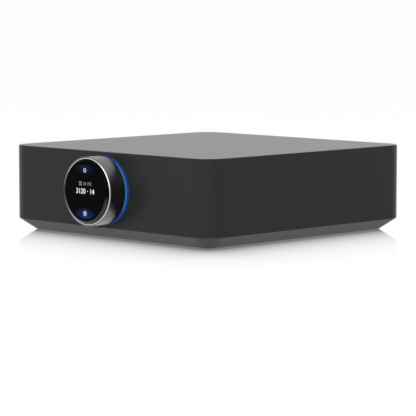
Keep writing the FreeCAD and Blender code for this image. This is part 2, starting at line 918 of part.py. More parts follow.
def post_flange(x, z):
    points = [
        (post_shaft_radius, panel_inner_y), (post_neck_radius, panel_inner_y),
        (post_neck_radius, panel_outer_y), (post_flange_radius, panel_outer_y),
        (post_flange_radius, panel_outer_y + post_flange_thickness - post_flange_chamfer),
        (post_flange_radius - post_flange_chamfer, panel_outer_y + post_flange_thickness),
        (post_shaft_radius, panel_outer_y + post_flange_thickness),
    ]
    return turned_rear(points, x, z)


def post_shaft(x, z):
    tip = panel_outer_y + post_shaft_reach
    shaft = rod_y(post_shaft_radius, x, z, terminal_board_y, tip)
    shaft = shaft.cut(rod_y(post_bore_radius, x, z, tip - post_bore_depth, tip + overshoot))
    wire_y = panel_outer_y + post_wire_hole_offset
    return shaft.cut(rod_z(post_wire_hole_radius, x, wire_y, z - post_flange_radius, z + post_flange_radius))


def post_nut(x, z):
    nut = hexagon_y(post_nut_size, x, z, panel_inner_y - post_nut_thickness, panel_inner_y)
    return nut.cut(rod_y(post_shaft_radius, x, z, panel_inner_y - post_nut_thickness - overshoot,
                         panel_inner_y + overshoot))


def cap_back_y():
    return panel_outer_y + post_flange_thickness + cap_gap


def insert_back_y():
    return cap_back_y() + cap_skirt_length


def insert_front_y():
    return cap_back_y() + cap_length - cap_end_wall


def post_insert(x, z):
    bore = post_shaft_radius + insert_clearance
    points = [
        (bore, insert_back_y()), (bore + insert_wall, insert_back_y()),
        (bore + insert_wall, insert_front_y()), (bore, insert_front_y()),
    ]
    return turned_rear(points, x, z)


def post_cap(x, z):
    bore = post_shaft_radius + insert_clearance + insert_wall + insert_clearance
    skirt_bore = post_shaft_radius + cap_skirt_clearance
    back = cap_back_y()
    front = back + cap_length
    seat_back = insert_back_y() - insert_clearance
    seat_front = insert_front_y() + insert_clearance
    points = [
        (skirt_bore, back), (cap_radius - cap_back_chamfer, back),
        (cap_radius, back + cap_back_chamfer), (cap_radius, front - cap_front_chamfer),
        (cap_radius - cap_front_chamfer, front), (cap_mouth_radius, front), (cap_mouth_radius, seat_front),
        (bore, seat_front), (bore, seat_back), (skirt_bore, seat_back),
    ]
    cap = turned_rear(points, x, z)
    flute_centre = cap_radius + cap_flute_radius - cap_flute_depth
    for i in range(cap_flutes):
        angle = 2 * math.pi * i / cap_flutes
        cap = cap.cut(rod_y(cap_flute_radius, x + flute_centre * math.cos(angle),
                            z + flute_centre * math.sin(angle), back + cap_flute_back,
                            front - cap_flute_front))
    return cap


def rca_barrel(x, z):
    inner = rca_barrel_radius - rca_barrel_wall
    tip = panel_outer_y + rca_barrel_reach
    points = [
        (inner, panel_inner_y), (rca_barrel_radius, panel_inner_y), (rca_barrel_radius, panel_outer_y),
        (rca_flange_radius, panel_outer_y), (rca_flange_radius, panel_outer_y + rca_flange_thickness),
        (rca_barrel_radius, panel_outer_y + rca_flange_thickness), (rca_barrel_radius, tip), (inner, tip),
    ]
    return turned_rear(points, x, z)


def rca_insulator(x, z):
    core = rca_barrel_radius - rca_barrel_wall
    tip = panel_outer_y + rca_barrel_reach - rca_core_setback
    points = [
        (0, io_board_y), (rca_body_radius, io_board_y), (rca_body_radius, panel_inner_y),
        (core, panel_inner_y), (core, tip), (rca_pin_hole_radius, tip),
        (rca_pin_hole_radius, tip - rca_pin_hole_depth), (0, tip - rca_pin_hole_depth),
    ]
    return turned_rear(points, x, z)


def optical_hinge_z():
    return lower_z + optical_cavity_height / 2 - flap_hinge_drop


def optical_hinge_y():
    return jack_face_y - flap_setback


def optical_jack():
    half = optical_size / 2
    x = sub_column_x
    jack = box(x - half, x + half, io_board_y, jack_face_y, lower_z - half, lower_z + half)
    cavity = box(x - optical_cavity_width / 2, x + optical_cavity_width / 2,
                 jack_face_y - optical_cavity_depth, jack_face_y + overshoot,
                 lower_z - optical_cavity_height / 2, lower_z + optical_cavity_height / 2)
    hinge_hole = rod_x(flap_pin_radius + insert_clearance, optical_hinge_y(), optical_hinge_z(),
                       x - half - overshoot, x + half + overshoot)
    return cut_all(jack, [cavity, hinge_hole])


def optical_flap():
    half = optical_cavity_width / 2 - flap_side_clearance
    y = optical_hinge_y()
    z = optical_hinge_z()
    low = lower_z - optical_cavity_height / 2 + flap_side_clearance
    plate = box(sub_column_x - half, sub_column_x + half, y - flap_thickness / 2, y + flap_thickness / 2,
                low, z)
    pin_half = optical_size / 2 - flap_pin_end_gap
    pin = rod_x(flap_pin_radius, y, z, sub_column_x - pin_half, sub_column_x + pin_half)
    return plate.fuse(pin).removeSplitter()


def usb_jack():
    x = hdmi_column_x
    half_w = usb_width / 2
    half_h = usb_height / 2
    shell = box(x - half_w, x + half_w, io_board_y, jack_face_y, lower_z - half_h, lower_z + half_h)
    cavity = box(x - half_w + jack_shell, x + half_w - jack_shell, jack_face_y - jack_cavity_depth,
                 jack_face_y + overshoot, lower_z - half_h + jack_shell, lower_z + half_h - jack_shell)
    return shell.cut(cavity)


def hdmi_outline(shrink, y0, y1):
    half_w = hdmi_width / 2 - shrink
    half_h = hdmi_height / 2 - shrink
    x = hdmi_column_x
    corners = [(-half_w, half_h), (half_w, half_h), (half_w, -half_h + hdmi_bevel),
               (half_w - hdmi_bevel, -half_h), (-half_w + hdmi_bevel, -half_h), (-half_w, -half_h + hdmi_bevel)]
    return polygon_prism([vec(x + u, y0, upper_z + v) for u, v in corners], vec(0, y1 - y0, 0))


def hdmi_jack():
    shell = hdmi_outline(0, io_board_y, jack_face_y)
    return shell.cut(hdmi_outline(jack_shell, jack_face_y - jack_cavity_depth, jack_face_y + overshoot))


def jack_tongues():
    def tongue(z, width, height):
        half = width * tongue_width_share / 2
        return box(hdmi_column_x - half, hdmi_column_x + half, jack_face_y - jack_cavity_depth,
                   jack_face_y - tongue_setback, z - height / 2, z + height / 2)

    usb_tongue = tongue(lower_z + usb_height / 2 - jack_shell - usb_tongue_height, usb_width, usb_tongue_height)
    return [usb_tongue, tongue(upper_z, hdmi_width, hdmi_tongue_height)]


def network_cavity_z():
    """Top of the plug's cavity and of the latch notch above it."""
    top = lower_z + network_height / 2 - network_roof
    return top - network_latch_height, top


def network_jack():
    x = network_column_x
    half_w = network_width / 2
    half_h = network_height / 2
    jack = box(x - half_w, x + half_w, io_board_y, jack_face_y, lower_z - half_h, lower_z + half_h)
    plug_top, latch_top = network_cavity_z()
    back = jack_face_y - network_cavity_depth
    cavity = box(x - network_cavity_width / 2, x + network_cavity_width / 2, back, jack_face_y + overshoot,
                 plug_top - network_cavity_height, plug_top)
    latch = box(x - network_latch_width / 2, x + network_latch_width / 2, back, jack_face_y + overshoot,
                plug_top - overlap, latch_top)
    return cut_all(jack, [cavity, latch])


def reset_switch():
    x = network_column_x
    half = switch_size / 2
    return box(x - half, x + half, io_board_y, io_board_y + switch_height, upper_z - half, upper_z + half)


def reset_button():
    back = io_board_y + switch_height + button_travel + button_play
    shoulder = panel_inner_y - button_play
    front = panel_outer_y + button_proud
    points = [
        (0, back), (button_stem_radius, back), (button_stem_radius, shoulder - button_flange_thickness),
        (button_flange_radius, shoulder - button_flange_thickness), (button_flange_radius, shoulder),
        (button_radius, shoulder), (button_radius, front), (0, front),
    ]
    return turned_rear(points, network_column_x, upper_z)


def inlet_outline(y0, y1, shrink):
    """Figure-8 recess: two round lobes joined by a flat-sided middle."""
    radius = inlet_lobe_radius - shrink
    shape = box(inlet_x - inlet_lobe_offset, inlet_x + inlet_lobe_offset, y0, y1,
                inlet_z - radius * inlet_middle_share, inlet_z + radius * inlet_middle_share)
    for side in (-1, 1):
        shape = shape.fuse(rod_y(radius, inlet_x + side * inlet_lobe_offset, inlet_z, y0, y1))
    return shape.removeSplitter()


def mains_inlet():
    half_w = inlet_width / 2
    half_h = inlet_height / 2
    body = box(inlet_x - half_w, inlet_x + half_w, jack_face_y - inlet_length, jack_face_y,
               inlet_z - half_h, inlet_z + half_h)
    foot_y = jack_face_y - inlet_length
    foot = box(inlet_x - half_w, inlet_x + half_w, foot_y, foot_y + inlet_foot_depth,
               board_top, inlet_z - half_h + overlap)
    body = body.fuse(foot)
    recess = inlet_outline(jack_face_y - inlet_recess_depth, jack_face_y + overshoot, 0)
    holes = [rod_y(inlet_pin_radius, inlet_x + side * inlet_lobe_offset, inlet_z,
                   foot_y + inlet_pin_root, jack_face_y)
             for side in (-1, 1)]
    return cut_all(body, [recess] + holes).removeSplitter()


def mains_pins():
    pins = []
    for side in (-1, 1):
        pin = rod_y(inlet_pin_radius, inlet_x + side * inlet_lobe_offset, inlet_z,
                    jack_face_y - inlet_length + inlet_pin_root, jack_face_y - inlet_pin_setback)
        pins.append(pin)
    return pins


def wifi_antennas():
    low = inlet_z + inlet_height / 2
    room = panel_z + window_half_height - low - antenna_height
    z = low + room * antenna_low_share / (antenna_low_share + antenna_high_share) + antenna_height / 2
    antennas = []
    for i in (-1, 1):
        x = inlet_x + i * antenna_pitch / 2
        antennas.append(box(x - antenna_width / 2, x + antenna_width / 2, panel_inner_y - antenna_thickness,
                            panel_inner_y, z - antenna_height / 2, z + antenna_height / 2))
    return antennas


# Circuit boards

def boards():
    """The three boards on the floor: name, left edge and right edge."""
    return [("power_board", power_left, power_right), ("main_board", main_left, main_right),
            ("amplifier_board", amplifier_left, amplifier_right)]


def board_screw_places(left, right):
    """Screw places of one board. Where a corner boss stands at the edge, the place moves inwards."""
    places = []
    for x in (left + board_screw_inset, right - board_screw_inset):
        for y in (board_front_y + board_screw_inset, board_rear_y - board_screw_inset):
            near_boss = abs(abs(x) - boss_x) < boss_reach and abs(abs(y) - boss_y) < boss_reach
            places.append((x, y - math.copysign(boss_detour, y) if near_boss else y))
    return places


def floor_board(left, right):
    board = box(left, right, board_front_y, board_rear_y, board_z, board_top)
    for x, y in four(boss_x, boss_y):
        notch = boss_radius + boss_notch
        board = board.cut(rod_z(notch, x, y, board_z - overshoot, board_top + overshoot))
        edge_x = x + math.copysign(notch_reach, x)
        outward = box(min(x, edge_x), max(x, edge_x), y - notch, y + notch,
                      board_z - overshoot, board_top + overshoot)
        if y > 0:
            outward = outward.fuse(box(x - notch, x + notch, y, y + notch_reach,
                                       board_z - overshoot, board_top + overshoot))
        board = board.cut(outward)
    for x, y in board_screw_places(left, right):
        board = board.cut(rod_z(board_screw_radius + screw_clearance, x, y, board_z - overshoot,
                                board_top + overshoot))
    return max(board.Solids, key=lambda s: s.Volume)


def board_standoffs():
    posts = []
    for name, left, right in boards():
        for x, y in board_screw_places(left, right):
            post = hexagon_z(board_post_size, x, y, floor_z, board_z)
            hole_low = board_z - board_screw_bite - overshoot
            posts.append(post.cut(rod_z(board_screw_radius, x, y, hole_low, board_z + overshoot)))
    return posts


def board_screws():
    screws = []
    for name, left, right in boards():
        for x, y in board_screw_places(left, right):
            shank = rod_z(board_screw_radius, x, y, board_z - board_screw_bite, board_top)
            head = rod_z(board_screw_head_radius, x, y, board_top, board_top + board_screw_head_height)
            screws.append(shank.fuse(head))
    return screws


def io_board():
    left = network_column_x - network_width / 2 - io_board_margin
    right = rca_column_x + rca_body_radius + io_board_margin
    return box(left, right, io_board_y - board_thickness, io_board_y, board_top, board_top + io_board_height)


def terminal_board():
    right = post_x + post_flange_radius + terminal_board_margin
    return box(terminal_left, right, terminal_board_y - board_thickness, terminal_board_y,
               board_top, board_top + terminal_board_height)


def amplifier_heat_sink():
    low = board_top + chip_height
    sink = box(amplifier_x - sink_width / 2, amplifier_x + sink_width / 2, -sink_length / 2, sink_length / 2,
               low, low + sink_base)
    pitch = (sink_width - sink_fin_thickness) / (sink_fins - 1)
    fins = []
    for i in range(sink_fins):
        x = amplifier_x - sink_width / 2 + i * pitch
        fins.append(box(x, x + sink_fin_thickness, -sink_length / 2, sink_length / 2, low + sink_base,
                        low + sink_height))
    return fuse_all(sink, fins)


def amplifier_chips():
    chips = []
    for side in (-1, 1):
        y = side * chip_pitch / 2
        chips.append(box(amplifier_x - chip_length / 2, amplifier_x + chip_length / 2, y - chip_width / 2,
                         y + chip_width / 2, board_top, board_top + chip_height))
    return chips


def output_inductors():
    coils = []
    y = sink_length / 2 + inductor_clearance_from_sink + inductor_size / 2
    half = inductor_size / 2
    cut = half - inductor_bevel
    corners = [(half, cut), (cut, half), (-cut, half), (-half, cut), (-half, -cut), (-cut, -half), (cut, -half),
               (half, -cut)]
    for i in range(4):
        x = amplifier_x + (i - 1.5) * inductor_pitch
        coils.append(polygon_prism([vec(x + u, y + v, board_top) for u, v in corners],
                                   vec(0, 0, inductor_height)))
    return coils


def transformer_core():
    y = transformer_y
    low = board_top
    core = box(power_x - core_width / 2, power_x + core_width / 2, y - core_depth / 2, y + core_depth / 2,
               low, low + core_height)
    for side in (-1, 1):
        inner = power_x + side * core_leg / 2
        outer = power_x + side * (core_width / 2 - core_yoke)
        core = core.cut(box(min(inner, outer), max(inner, outer), y - core_depth, y + core_depth,
                            low + core_yoke, low + core_height - core_yoke))
    return core


def transformer_winding():
    y = transformer_y
    half_x = core_width / 2 - core_yoke - winding_clearance
    half_y = core_depth / 2 + winding_overhang
    low = board_top + core_yoke + winding_clearance
    high = board_top + core_height - core_yoke - winding_clearance
    winding = rounded_slab(half_x, half_y, winding_corner, low, high)
    leg = box(-core_leg / 2 - winding_clearance, core_leg / 2 + winding_clearance,
              -core_depth / 2 - winding_clearance, core_depth / 2 + winding_clearance,
              low - overshoot, high + overshoot)
    winding = winding.cut(leg)
    winding.translate(vec(power_x, y, 0))
    return winding


def bulk_capacitors():
    cans = []
    for side in (-1, 1):
        x = power_x + side * capacitor_pitch / 2
        points = [
            (0, 0), (capacitor_radius, 0),
            (capacitor_radius, capacitor_crimp_height - capacitor_crimp_half_width),
            (capacitor_radius - capacitor_crimp, capacitor_crimp_height),
            (capacitor_radius, capacitor_crimp_height + capacitor_crimp_half_width),
            (capacitor_radius, capacitor_height - capacitor_chamfer),
            (capacitor_radius - capacitor_chamfer, capacitor_height), (0, capacitor_height),
        ]
        corners = [vec(x + radius, capacitor_y, board_top + rise) for radius, rise in points + [points[0]]]
        outline = Part.makePolygon(corners)
        cans.append(Part.Face(outline).revolve(vec(x, capacitor_y, 0), vec(0, 0, 1), 360))
    return cans


def mains_choke():
    ring = rod_z(choke_outer_radius, power_x, choke_y, board_top, board_top + choke_height)
    return ring.cut(rod_z(choke_inner_radius, power_x, choke_y, board_top - overshoot,
                          board_top + choke_height + overshoot))


def streaming_module():
    half_w = module_width / 2
    half_l = module_length / 2
    margin = module_board_margin
    carrier = box(main_x - half_w - margin, main_x + half_w + margin, -half_l - margin, half_l + margin,
                  board_top, board_top + module_board_thickness)
    can = box(main_x - half_w, main_x + half_w, -half_l, half_l, board_top + module_board_thickness,
              board_top + module_board_thickness + module_height)
    edges = edges_at_z(can, board_top + module_board_thickness + module_height)
    return carrier.fuse(can.makeFillet(module_edge_round, edges)).removeSplitter()


def build():
    save("enclosure_shell", enclosure_shell())
    save("base_tray", base_tray())
    save("foot_pads", foot_pads())
    save("tray_screws", tray_screws())

    save("knob_ring", knob_ring())
    save("knob_trim_ring", knob_trim_ring())
    save("spindle_housing", spindle_housing())
    save("housing_screws", housing_screws())
    save("spindle_bush", spindle_bush())
    save("retaining_ring", retaining_ring())
    save("encoder_magnet", encoder_magnet())
    save("encoder_board", encoder_board())
    save("light_ring", light_ring())
    save("led_board", led_board())
    save("display_carrier", display_carrier())
    save("display_module", display_module())
    save("display_glass", display_glass())
    save("display_cable", display_cable())

    save("rear_panel", rear_panel())
    save("rear_panel_screws", rear_panel_screws())
    posts = post_places()
    save("post_flanges", [post_flange(x, z) for name, x, z in posts])
    save("post_shafts", [post_shaft(x, z) for name, x, z in posts])
    save("post_nuts", [post_nut(x, z) for name, x, z in posts])
    for name, x, z in posts:
        save("post_insert_" + name, post_insert(x, z))
        save("post_cap_" + name, post_cap(x, z))
    save("rca_barrels", [rca_barrel(x, z) for x, z in rca_places()])
    save("rca_insulators", [rca_insulator(x, z) for x, z in rca_places()])
    save("optical_jack", optical_jack())
    save("optical_flap", optical_flap())
    save("usb_jack", usb_jack())
    save("hdmi_jack", hdmi_jack())
    save("jack_tongues", jack_tongues())
    save("network_jack", network_jack())
    save("reset_switch", reset_switch())
    save("reset_button", reset_button())
    save("mains_inlet", mains_inlet())
    save("mains_pins", mains_pins())
    save("wifi_antennas", wifi_antennas())

    for name, left, right in boards():
        save(name, floor_board(left, right))
    save("board_standoffs", board_standoffs())
    save("board_screws", board_screws())
    save("io_board", io_board())
    save("terminal_board", terminal_board())
    save("amplifier_heat_sink", amplifier_heat_sink())
    save("amplifier_chips", amplifier_chips())
    save("output_inductors", output_inductors())
    save("transformer_core", transformer_core())
    save("transformer_winding", transformer_winding())
    save("bulk_capacitors", bulk_capacitors())
    save("mains_choke", mains_choke())
    save("streaming_module", streaming_module())


build()
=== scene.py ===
"""Finishes, fine pieces, studio and camera for a compact streaming amplifier.

The housing is a low square box of satin dark metal. A knurled knob turns round a fixed round display on
its front, with a light ring behind it, and the rear carries the sockets and the binding posts.
Sizes are written in millimetres and turned to metres where a mesh or a pattern is made.
"""
import json
import logging
import math
from collections.abc import Callable, Sequence
from dataclasses import dataclass
from enum import Enum
from functools import cache

import bpy
from bpy.types import ID, Material, Node, NodeSocket, Object, World
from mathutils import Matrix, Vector


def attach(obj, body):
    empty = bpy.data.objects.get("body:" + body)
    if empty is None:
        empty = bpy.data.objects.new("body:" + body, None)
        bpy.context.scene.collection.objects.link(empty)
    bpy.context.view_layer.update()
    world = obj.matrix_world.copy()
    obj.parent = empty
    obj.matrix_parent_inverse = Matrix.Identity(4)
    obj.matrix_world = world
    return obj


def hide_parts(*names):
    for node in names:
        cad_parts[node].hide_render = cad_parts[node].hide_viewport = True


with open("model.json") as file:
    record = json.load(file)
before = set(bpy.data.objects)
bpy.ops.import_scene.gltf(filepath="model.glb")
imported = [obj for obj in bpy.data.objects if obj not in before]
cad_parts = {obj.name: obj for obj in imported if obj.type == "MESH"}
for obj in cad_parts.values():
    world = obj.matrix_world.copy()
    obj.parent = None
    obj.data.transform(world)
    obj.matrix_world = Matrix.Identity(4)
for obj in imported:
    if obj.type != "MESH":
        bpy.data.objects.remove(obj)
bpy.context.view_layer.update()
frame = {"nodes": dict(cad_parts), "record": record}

MM = 0.001
HAIR = 0.001  # a tolerance in millimetres
ROUND_SHARE = 0.45  # the most of a side that one rounding takes
KNOB_AXIS_Z = 38.05
FRONT_WALL_Y = -111.0
REAR_PANEL_Y = 110.0
BLACK = (0.0, 0.0, 0.0, 1.0)
WHITE = (1.0, 1.0, 1.0, 1.0)
log = logging.getLogger("amplifier")

Pair = tuple[float, float]
Triple = tuple[float, float, float]
Profile = list[Pair]
Corners = list[Triple]
Faces = list[tuple[int, ...]]
MeshData = tuple[Corners, Faces]
Bend = Callable[[float, float, float], float]


def linear(hex_colour: str) -> tuple[float, float, float, float]:
    """Turns an sRGB hex colour to linear red, green, blue and alpha.

    Args:
        hex_colour: Six hex digits with a leading hash sign.

    Returns:
        The linear colour with an alpha of 1.
    """
    channels = [int(hex_colour[i:i + 2], 16) / 255 for i in (1, 3, 5)]
    turned = [c / 12.92 if c <= 0.04045 else ((c + 0.055) / 1.055) ** 2.4 for c in channels]
    return (turned[0], turned[1], turned[2], 1.0)


def per_metre(size_mm: float) -> float:
    """Gives the texture scale at which one cell measures size_mm."""
    return 1 / (size_mm * MM)


class Tree:
    """The node tree of a material or of the world, started empty."""

    def __init__(self, owner: Material | World) -> None:
        """Empties the tree.

        Args:
            owner: The material or the world that has it.
        """
        owner.use_nodes = True
        self.tree = owner.node_tree
        self.tree.nodes.clear()

    def add(self, kind: str, settings: dict | None = None, links: dict | None = None) -> Node:
        """Adds a node, sets its properties and input values, and links its inputs.

        Args:
            kind: The node's type name, without the ShaderNode before it.
            settings: Values by input name or number, or by property name.
            links: Output sockets, or nodes for their first one, by the name or number of the input they feed.

        Returns:
            The new node.
        """
        node = self.tree.nodes.new("ShaderNode" + kind)
        for key, value in (settings or {}).items():
            if isinstance(key, int) or key in node.inputs:
                node.inputs[key].default_value = value
            else:
                setattr(node, key, value)
        for key, source in (links or {}).items():
            socket = source.outputs[0] if isinstance(source, Node) else source
            self.tree.links.new(socket, node.inputs[key])
        return node


def span(start: float, end: float, low: float = 0.0, high: float = 1.0) -> dict:
    """Gives a map range's settings for a straight rise from low at start to high at end."""
    return {"From Min": start, "From Max": end, "To Min": low, "To Max": high}


def ease(start: float, end: float, low: float = 0.0, high: float = 1.0) -> dict:
    """Gives the same settings for a rise that is soft at both ends."""
    return {"interpolation_type": "SMOOTHSTEP", **span(start, end, low, high)}


def new_material(name: str) -> tuple[Material, Tree, NodeSocket]:
    """Starts a material with an empty tree.

    Args:
        name: The material's name.

    Returns:
        The material, its tree and the socket that gives the place on the object in metres.
    """
    material = bpy.data.materials.new(name)
    tree = Tree(material)
    return material, tree, tree.add("TexCoord").outputs["Object"]


class Texture(Enum):
    """How a surface was made, which decides its fine pattern."""

    BLASTED = "blasted"
    MOULDED = "moulded"
    TURNED = "turned"
    BRUSHED = "brushed"
    LAMINATE = "laminate"
    WOUND = "wound"


@dataclass(frozen=True)
class Surface:
    """A solid finish: a tone with a second one that clouds it, a pattern of its making, gloss and relief."""

    name: str
    tone: str
    cloud: str
    texture: Texture
    grain_mm: float
    relief_mm: float
    roughness: float
    roughness_spread: float = 0.06
    metallic: float = 0.0
    coat: float = 0.0
    specular: float = 0.5
    cloud_mm: float = 18.0
    cloud_share: float = 0.6

    def build(self) -> Material:
        """Builds the material.

        Returns:
            The finished material.
        """
        material, tree, place = new_material(self.name)
        pattern = self.pattern(tree, place)
        clouds = tree.add("TexNoise",
                          {"Scale": per_metre(self.cloud_mm), "Detail": 4.0, "Roughness": 0.6}, {"Vector": place})
        share = tree.add("Math", {"operation": "MULTIPLY", 1: self.cloud_share}, {0: clouds.outputs["Fac"]})
        blend = tree.add("Math", {"operation": "MULTIPLY_ADD", 1: 1 - self.cloud_share}, {0: pattern, 2: share})
        colour = tree.add("Mix", {"data_type": "RGBA", 6: linear(self.tone), 7: linear(self.cloud)}, {0: blend})
        spread = self.roughness_spread
        gloss = tree.add("MapRange",
                         span(0.0, 1.0, self.roughness - spread, self.roughness + spread), {"Value": blend})
        relief = tree.add("Bump", {"Strength": 1.0, "Distance": self.relief_mm * MM}, {"Height": pattern})
        settings = {"Metallic": self.metallic, "Coat Weight": self.coat, "Specular IOR Level": self.specular}
        shader = tree.add("BsdfPrincipled", settings,
                          {"Base Color": colour.outputs[2], "Roughness": gloss, "Normal": relief})
        tree.add("OutputMaterial", links={"Surface": shader})
        return material

    def pattern(self, tree: Tree, place: NodeSocket) -> NodeSocket:
        """Adds the pattern that the making left, from 0 to 1.

        Args:
            tree: The material's tree.
            place: The place on the object in metres.

        Returns:
            The pattern's output socket.
        """
        scale = per_metre(self.grain_mm)
        waves = scale / 6  # the wave texture's own scale, at which one band measures about two grains
        kind, settings, output = {
            Texture.BLASTED: ("TexNoise", {"Scale": scale, "Detail": 6.0, "Roughness": 0.7}, "Fac"),
            Texture.MOULDED: ("TexVoronoi", {"feature": "SMOOTH_F1", "Scale": scale}, "Distance"),
            Texture.TURNED: ("TexWave", {"bands_direction": "Y", "Scale": waves, "Distortion": 1.5, "Detail": 3.0,
                                         "Detail Scale": 2.0}, "Fac"),
            Texture.BRUSHED: ("TexNoise", {"Scale": scale, "Detail": 5.0}, "Fac"),
            Texture.LAMINATE: ("TexVoronoi", {"feature": "F1", "distance": "CHEBYCHEV", "Scale": scale,
                                              "Randomness": 0.85}, "Distance"),
            Texture.WOUND: ("TexWave", {"bands_direction": "Z", "Scale": waves, "Distortion": 0.4,
                                        "Detail": 2.0}, "Fac"),
        }[self.texture]
        if self.texture is Texture.BRUSHED:
            place = tree.add("Mapping", {"Scale": (1.0, 0.03, 1.0)}, {"Vector": place})
        pattern = tree.add(kind, settings, {"Vector": place}).outputs[output]
        if self.texture is Texture.LAMINATE:
            # The cells' edges become a net of straight tracks
            rings = tree.add("Math", {"operation": "PINGPONG", 1: 0.12}, {0: pattern})
            pattern = tree.add("MapRange", span(0.05, 0.08), {"Value": rings}).outputs[0]
        return pattern


@dataclass(frozen=True)
class DisplayFace:
    """Cover glass laminated to a round display: black gloss that glows in a top and a bottom field."""

    name: str = "laminated_cover_glass"
    black: str = "#030303"
    top_glow: str = "#10183a"
    low_glow: str = "#1a3a80"
    axis_z: float = KNOB_AXIS_Z
    active_radius: float = 20.3
    edge_soft: float = 0.25
    half_glow: float = 14.5
    full_glow: float = 1.0
    top_fade: float = 9.5
    arch_radius: float = 18.1
    arch_centre: float = -30.4
    low_start: float = -11.5
    low_levels: Pair = (0.06, 0.8)
    tip_reach: float = 13.0
    tip_level: float = 0.08
    speckle_mm: float = 0.9
    gloss: Pair = (0.03, 0.07)
    # The rounded edge mirrors the floor: the radii and the heights over which that comes in
    crescent_radii: Pair = (22.0, 22.8)
    crescent_heights: Pair = (-2.0, -9.0)

    def build(self) -> Material:
        """Builds the material.

        Returns:
            The finished material.
        """
        material, tree, place = new_material(self.name)
        local = tree.add("Mapping",
                         {"Location": (0.0, 0.0, -self.axis_z), "Scale": (1 / MM, 0.0, 1 / MM)}, {"Vector": place})
        axes = tree.add("SeparateXYZ", links={0: local})
        height = axes.outputs["Z"]
        aside = tree.add("Math", {"operation": "ABSOLUTE"}, {0: axes.outputs["X"]})
        from_axis = tree.add("VectorMath", {"operation": "LENGTH"}, {0: local}).outputs["Value"]
        from_arch = tree.add("VectorMath", {"operation": "DISTANCE", 1: (0.0, 0.0, self.arch_centre)},
                             {0: local}).outputs["Value"]
        speckle = tree.add("TexNoise", {"Scale": per_metre(self.speckle_mm), "Detail": 3.0}, {"Vector": place})
        edge, soft = self.active_radius, self.edge_soft
        middle, inside, top, under_arch, depth, tips, gloss, rim, lower = (
            tree.add("MapRange", settings, {"Value": value}) for settings, value in (
                (ease(self.half_glow, self.full_glow), aside),
                (ease(edge + soft, edge - soft), from_axis),
                (ease(edge - self.top_fade, edge), height),
                (ease(self.arch_radius + soft, self.arch_radius - soft), from_arch),
                (span(self.low_start, -edge, *self.low_levels), height),
                (span(0.0, self.tip_reach, 1.0, self.tip_level), aside),
                (span(0.0, 1.0, *self.gloss), speckle.outputs["Fac"]),
                (span(*self.crescent_radii), from_axis),
                (span(*self.crescent_heights), height)))
        top_share, fall, crescent = (
            tree.add("Math", {"operation": "MULTIPLY"}, {0: one, 1: other})
            for one, other in ((top, middle), (depth, tips), (rim, lower)))
        low = tree.add("Math", {"operation": "MULTIPLY"}, {0: under_arch, 1: fall})
        top_mix = tree.add("Mix", {"data_type": "RGBA", 6: BLACK, 7: linear(self.top_glow)}, {0: top_share})
        low_mix = tree.add("Mix", {"data_type": "RGBA", 7: linear(self.low_glow)}, {0: low, 6: top_mix.outputs[2]})
        glow = tree.add("Mix", {"data_type": "RGBA", 6: BLACK}, {0: inside, 7: low_mix.outputs[2]})
        shader = tree.add("BsdfPrincipled",
                          {"Base Color": linear(self.black), "Specular IOR Level": 0.02, "Coat Roughness": 0.05,
                           "Emission Strength": 1.0},
                          {"Roughness": gloss, "Emission Color": glow.outputs[2], "Coat Weight": crescent})
        tree.add("OutputMaterial", links={"Surface": shader})
        return material


@dataclass(frozen=True)
class LitInk:
    """The light that one mark of the display gives off, with the faint grid of its dots."""

    name: str
    tone: str
    strength: float = 1.0
    dot_mm: float = 0.5
    gap_share: float = 0.86

    def build(self) -> Material:
        """Builds the material.

        Returns:
            The finished material.
        """
        material, tree, place = new_material(self.name)
        dots = tree.add("TexVoronoi", {"Scale": per_metre(self.dot_mm), "Randomness": 0.0}, {"Vector": place})
        level = tree.add("MapRange", span(0.0, 1.0, self.strength, self.strength * self.gap_share),
                         {"Value": dots.outputs["Distance"]})
        shader = tree.add("BsdfPrincipled",
                          {"Base Color": linear("#101010"), "Roughness": 0.2, "Emission Color": linear(self.tone)},
                          {"Emission Strength": level})
        tree.add("OutputMaterial", links={"Surface": shader})
        return material


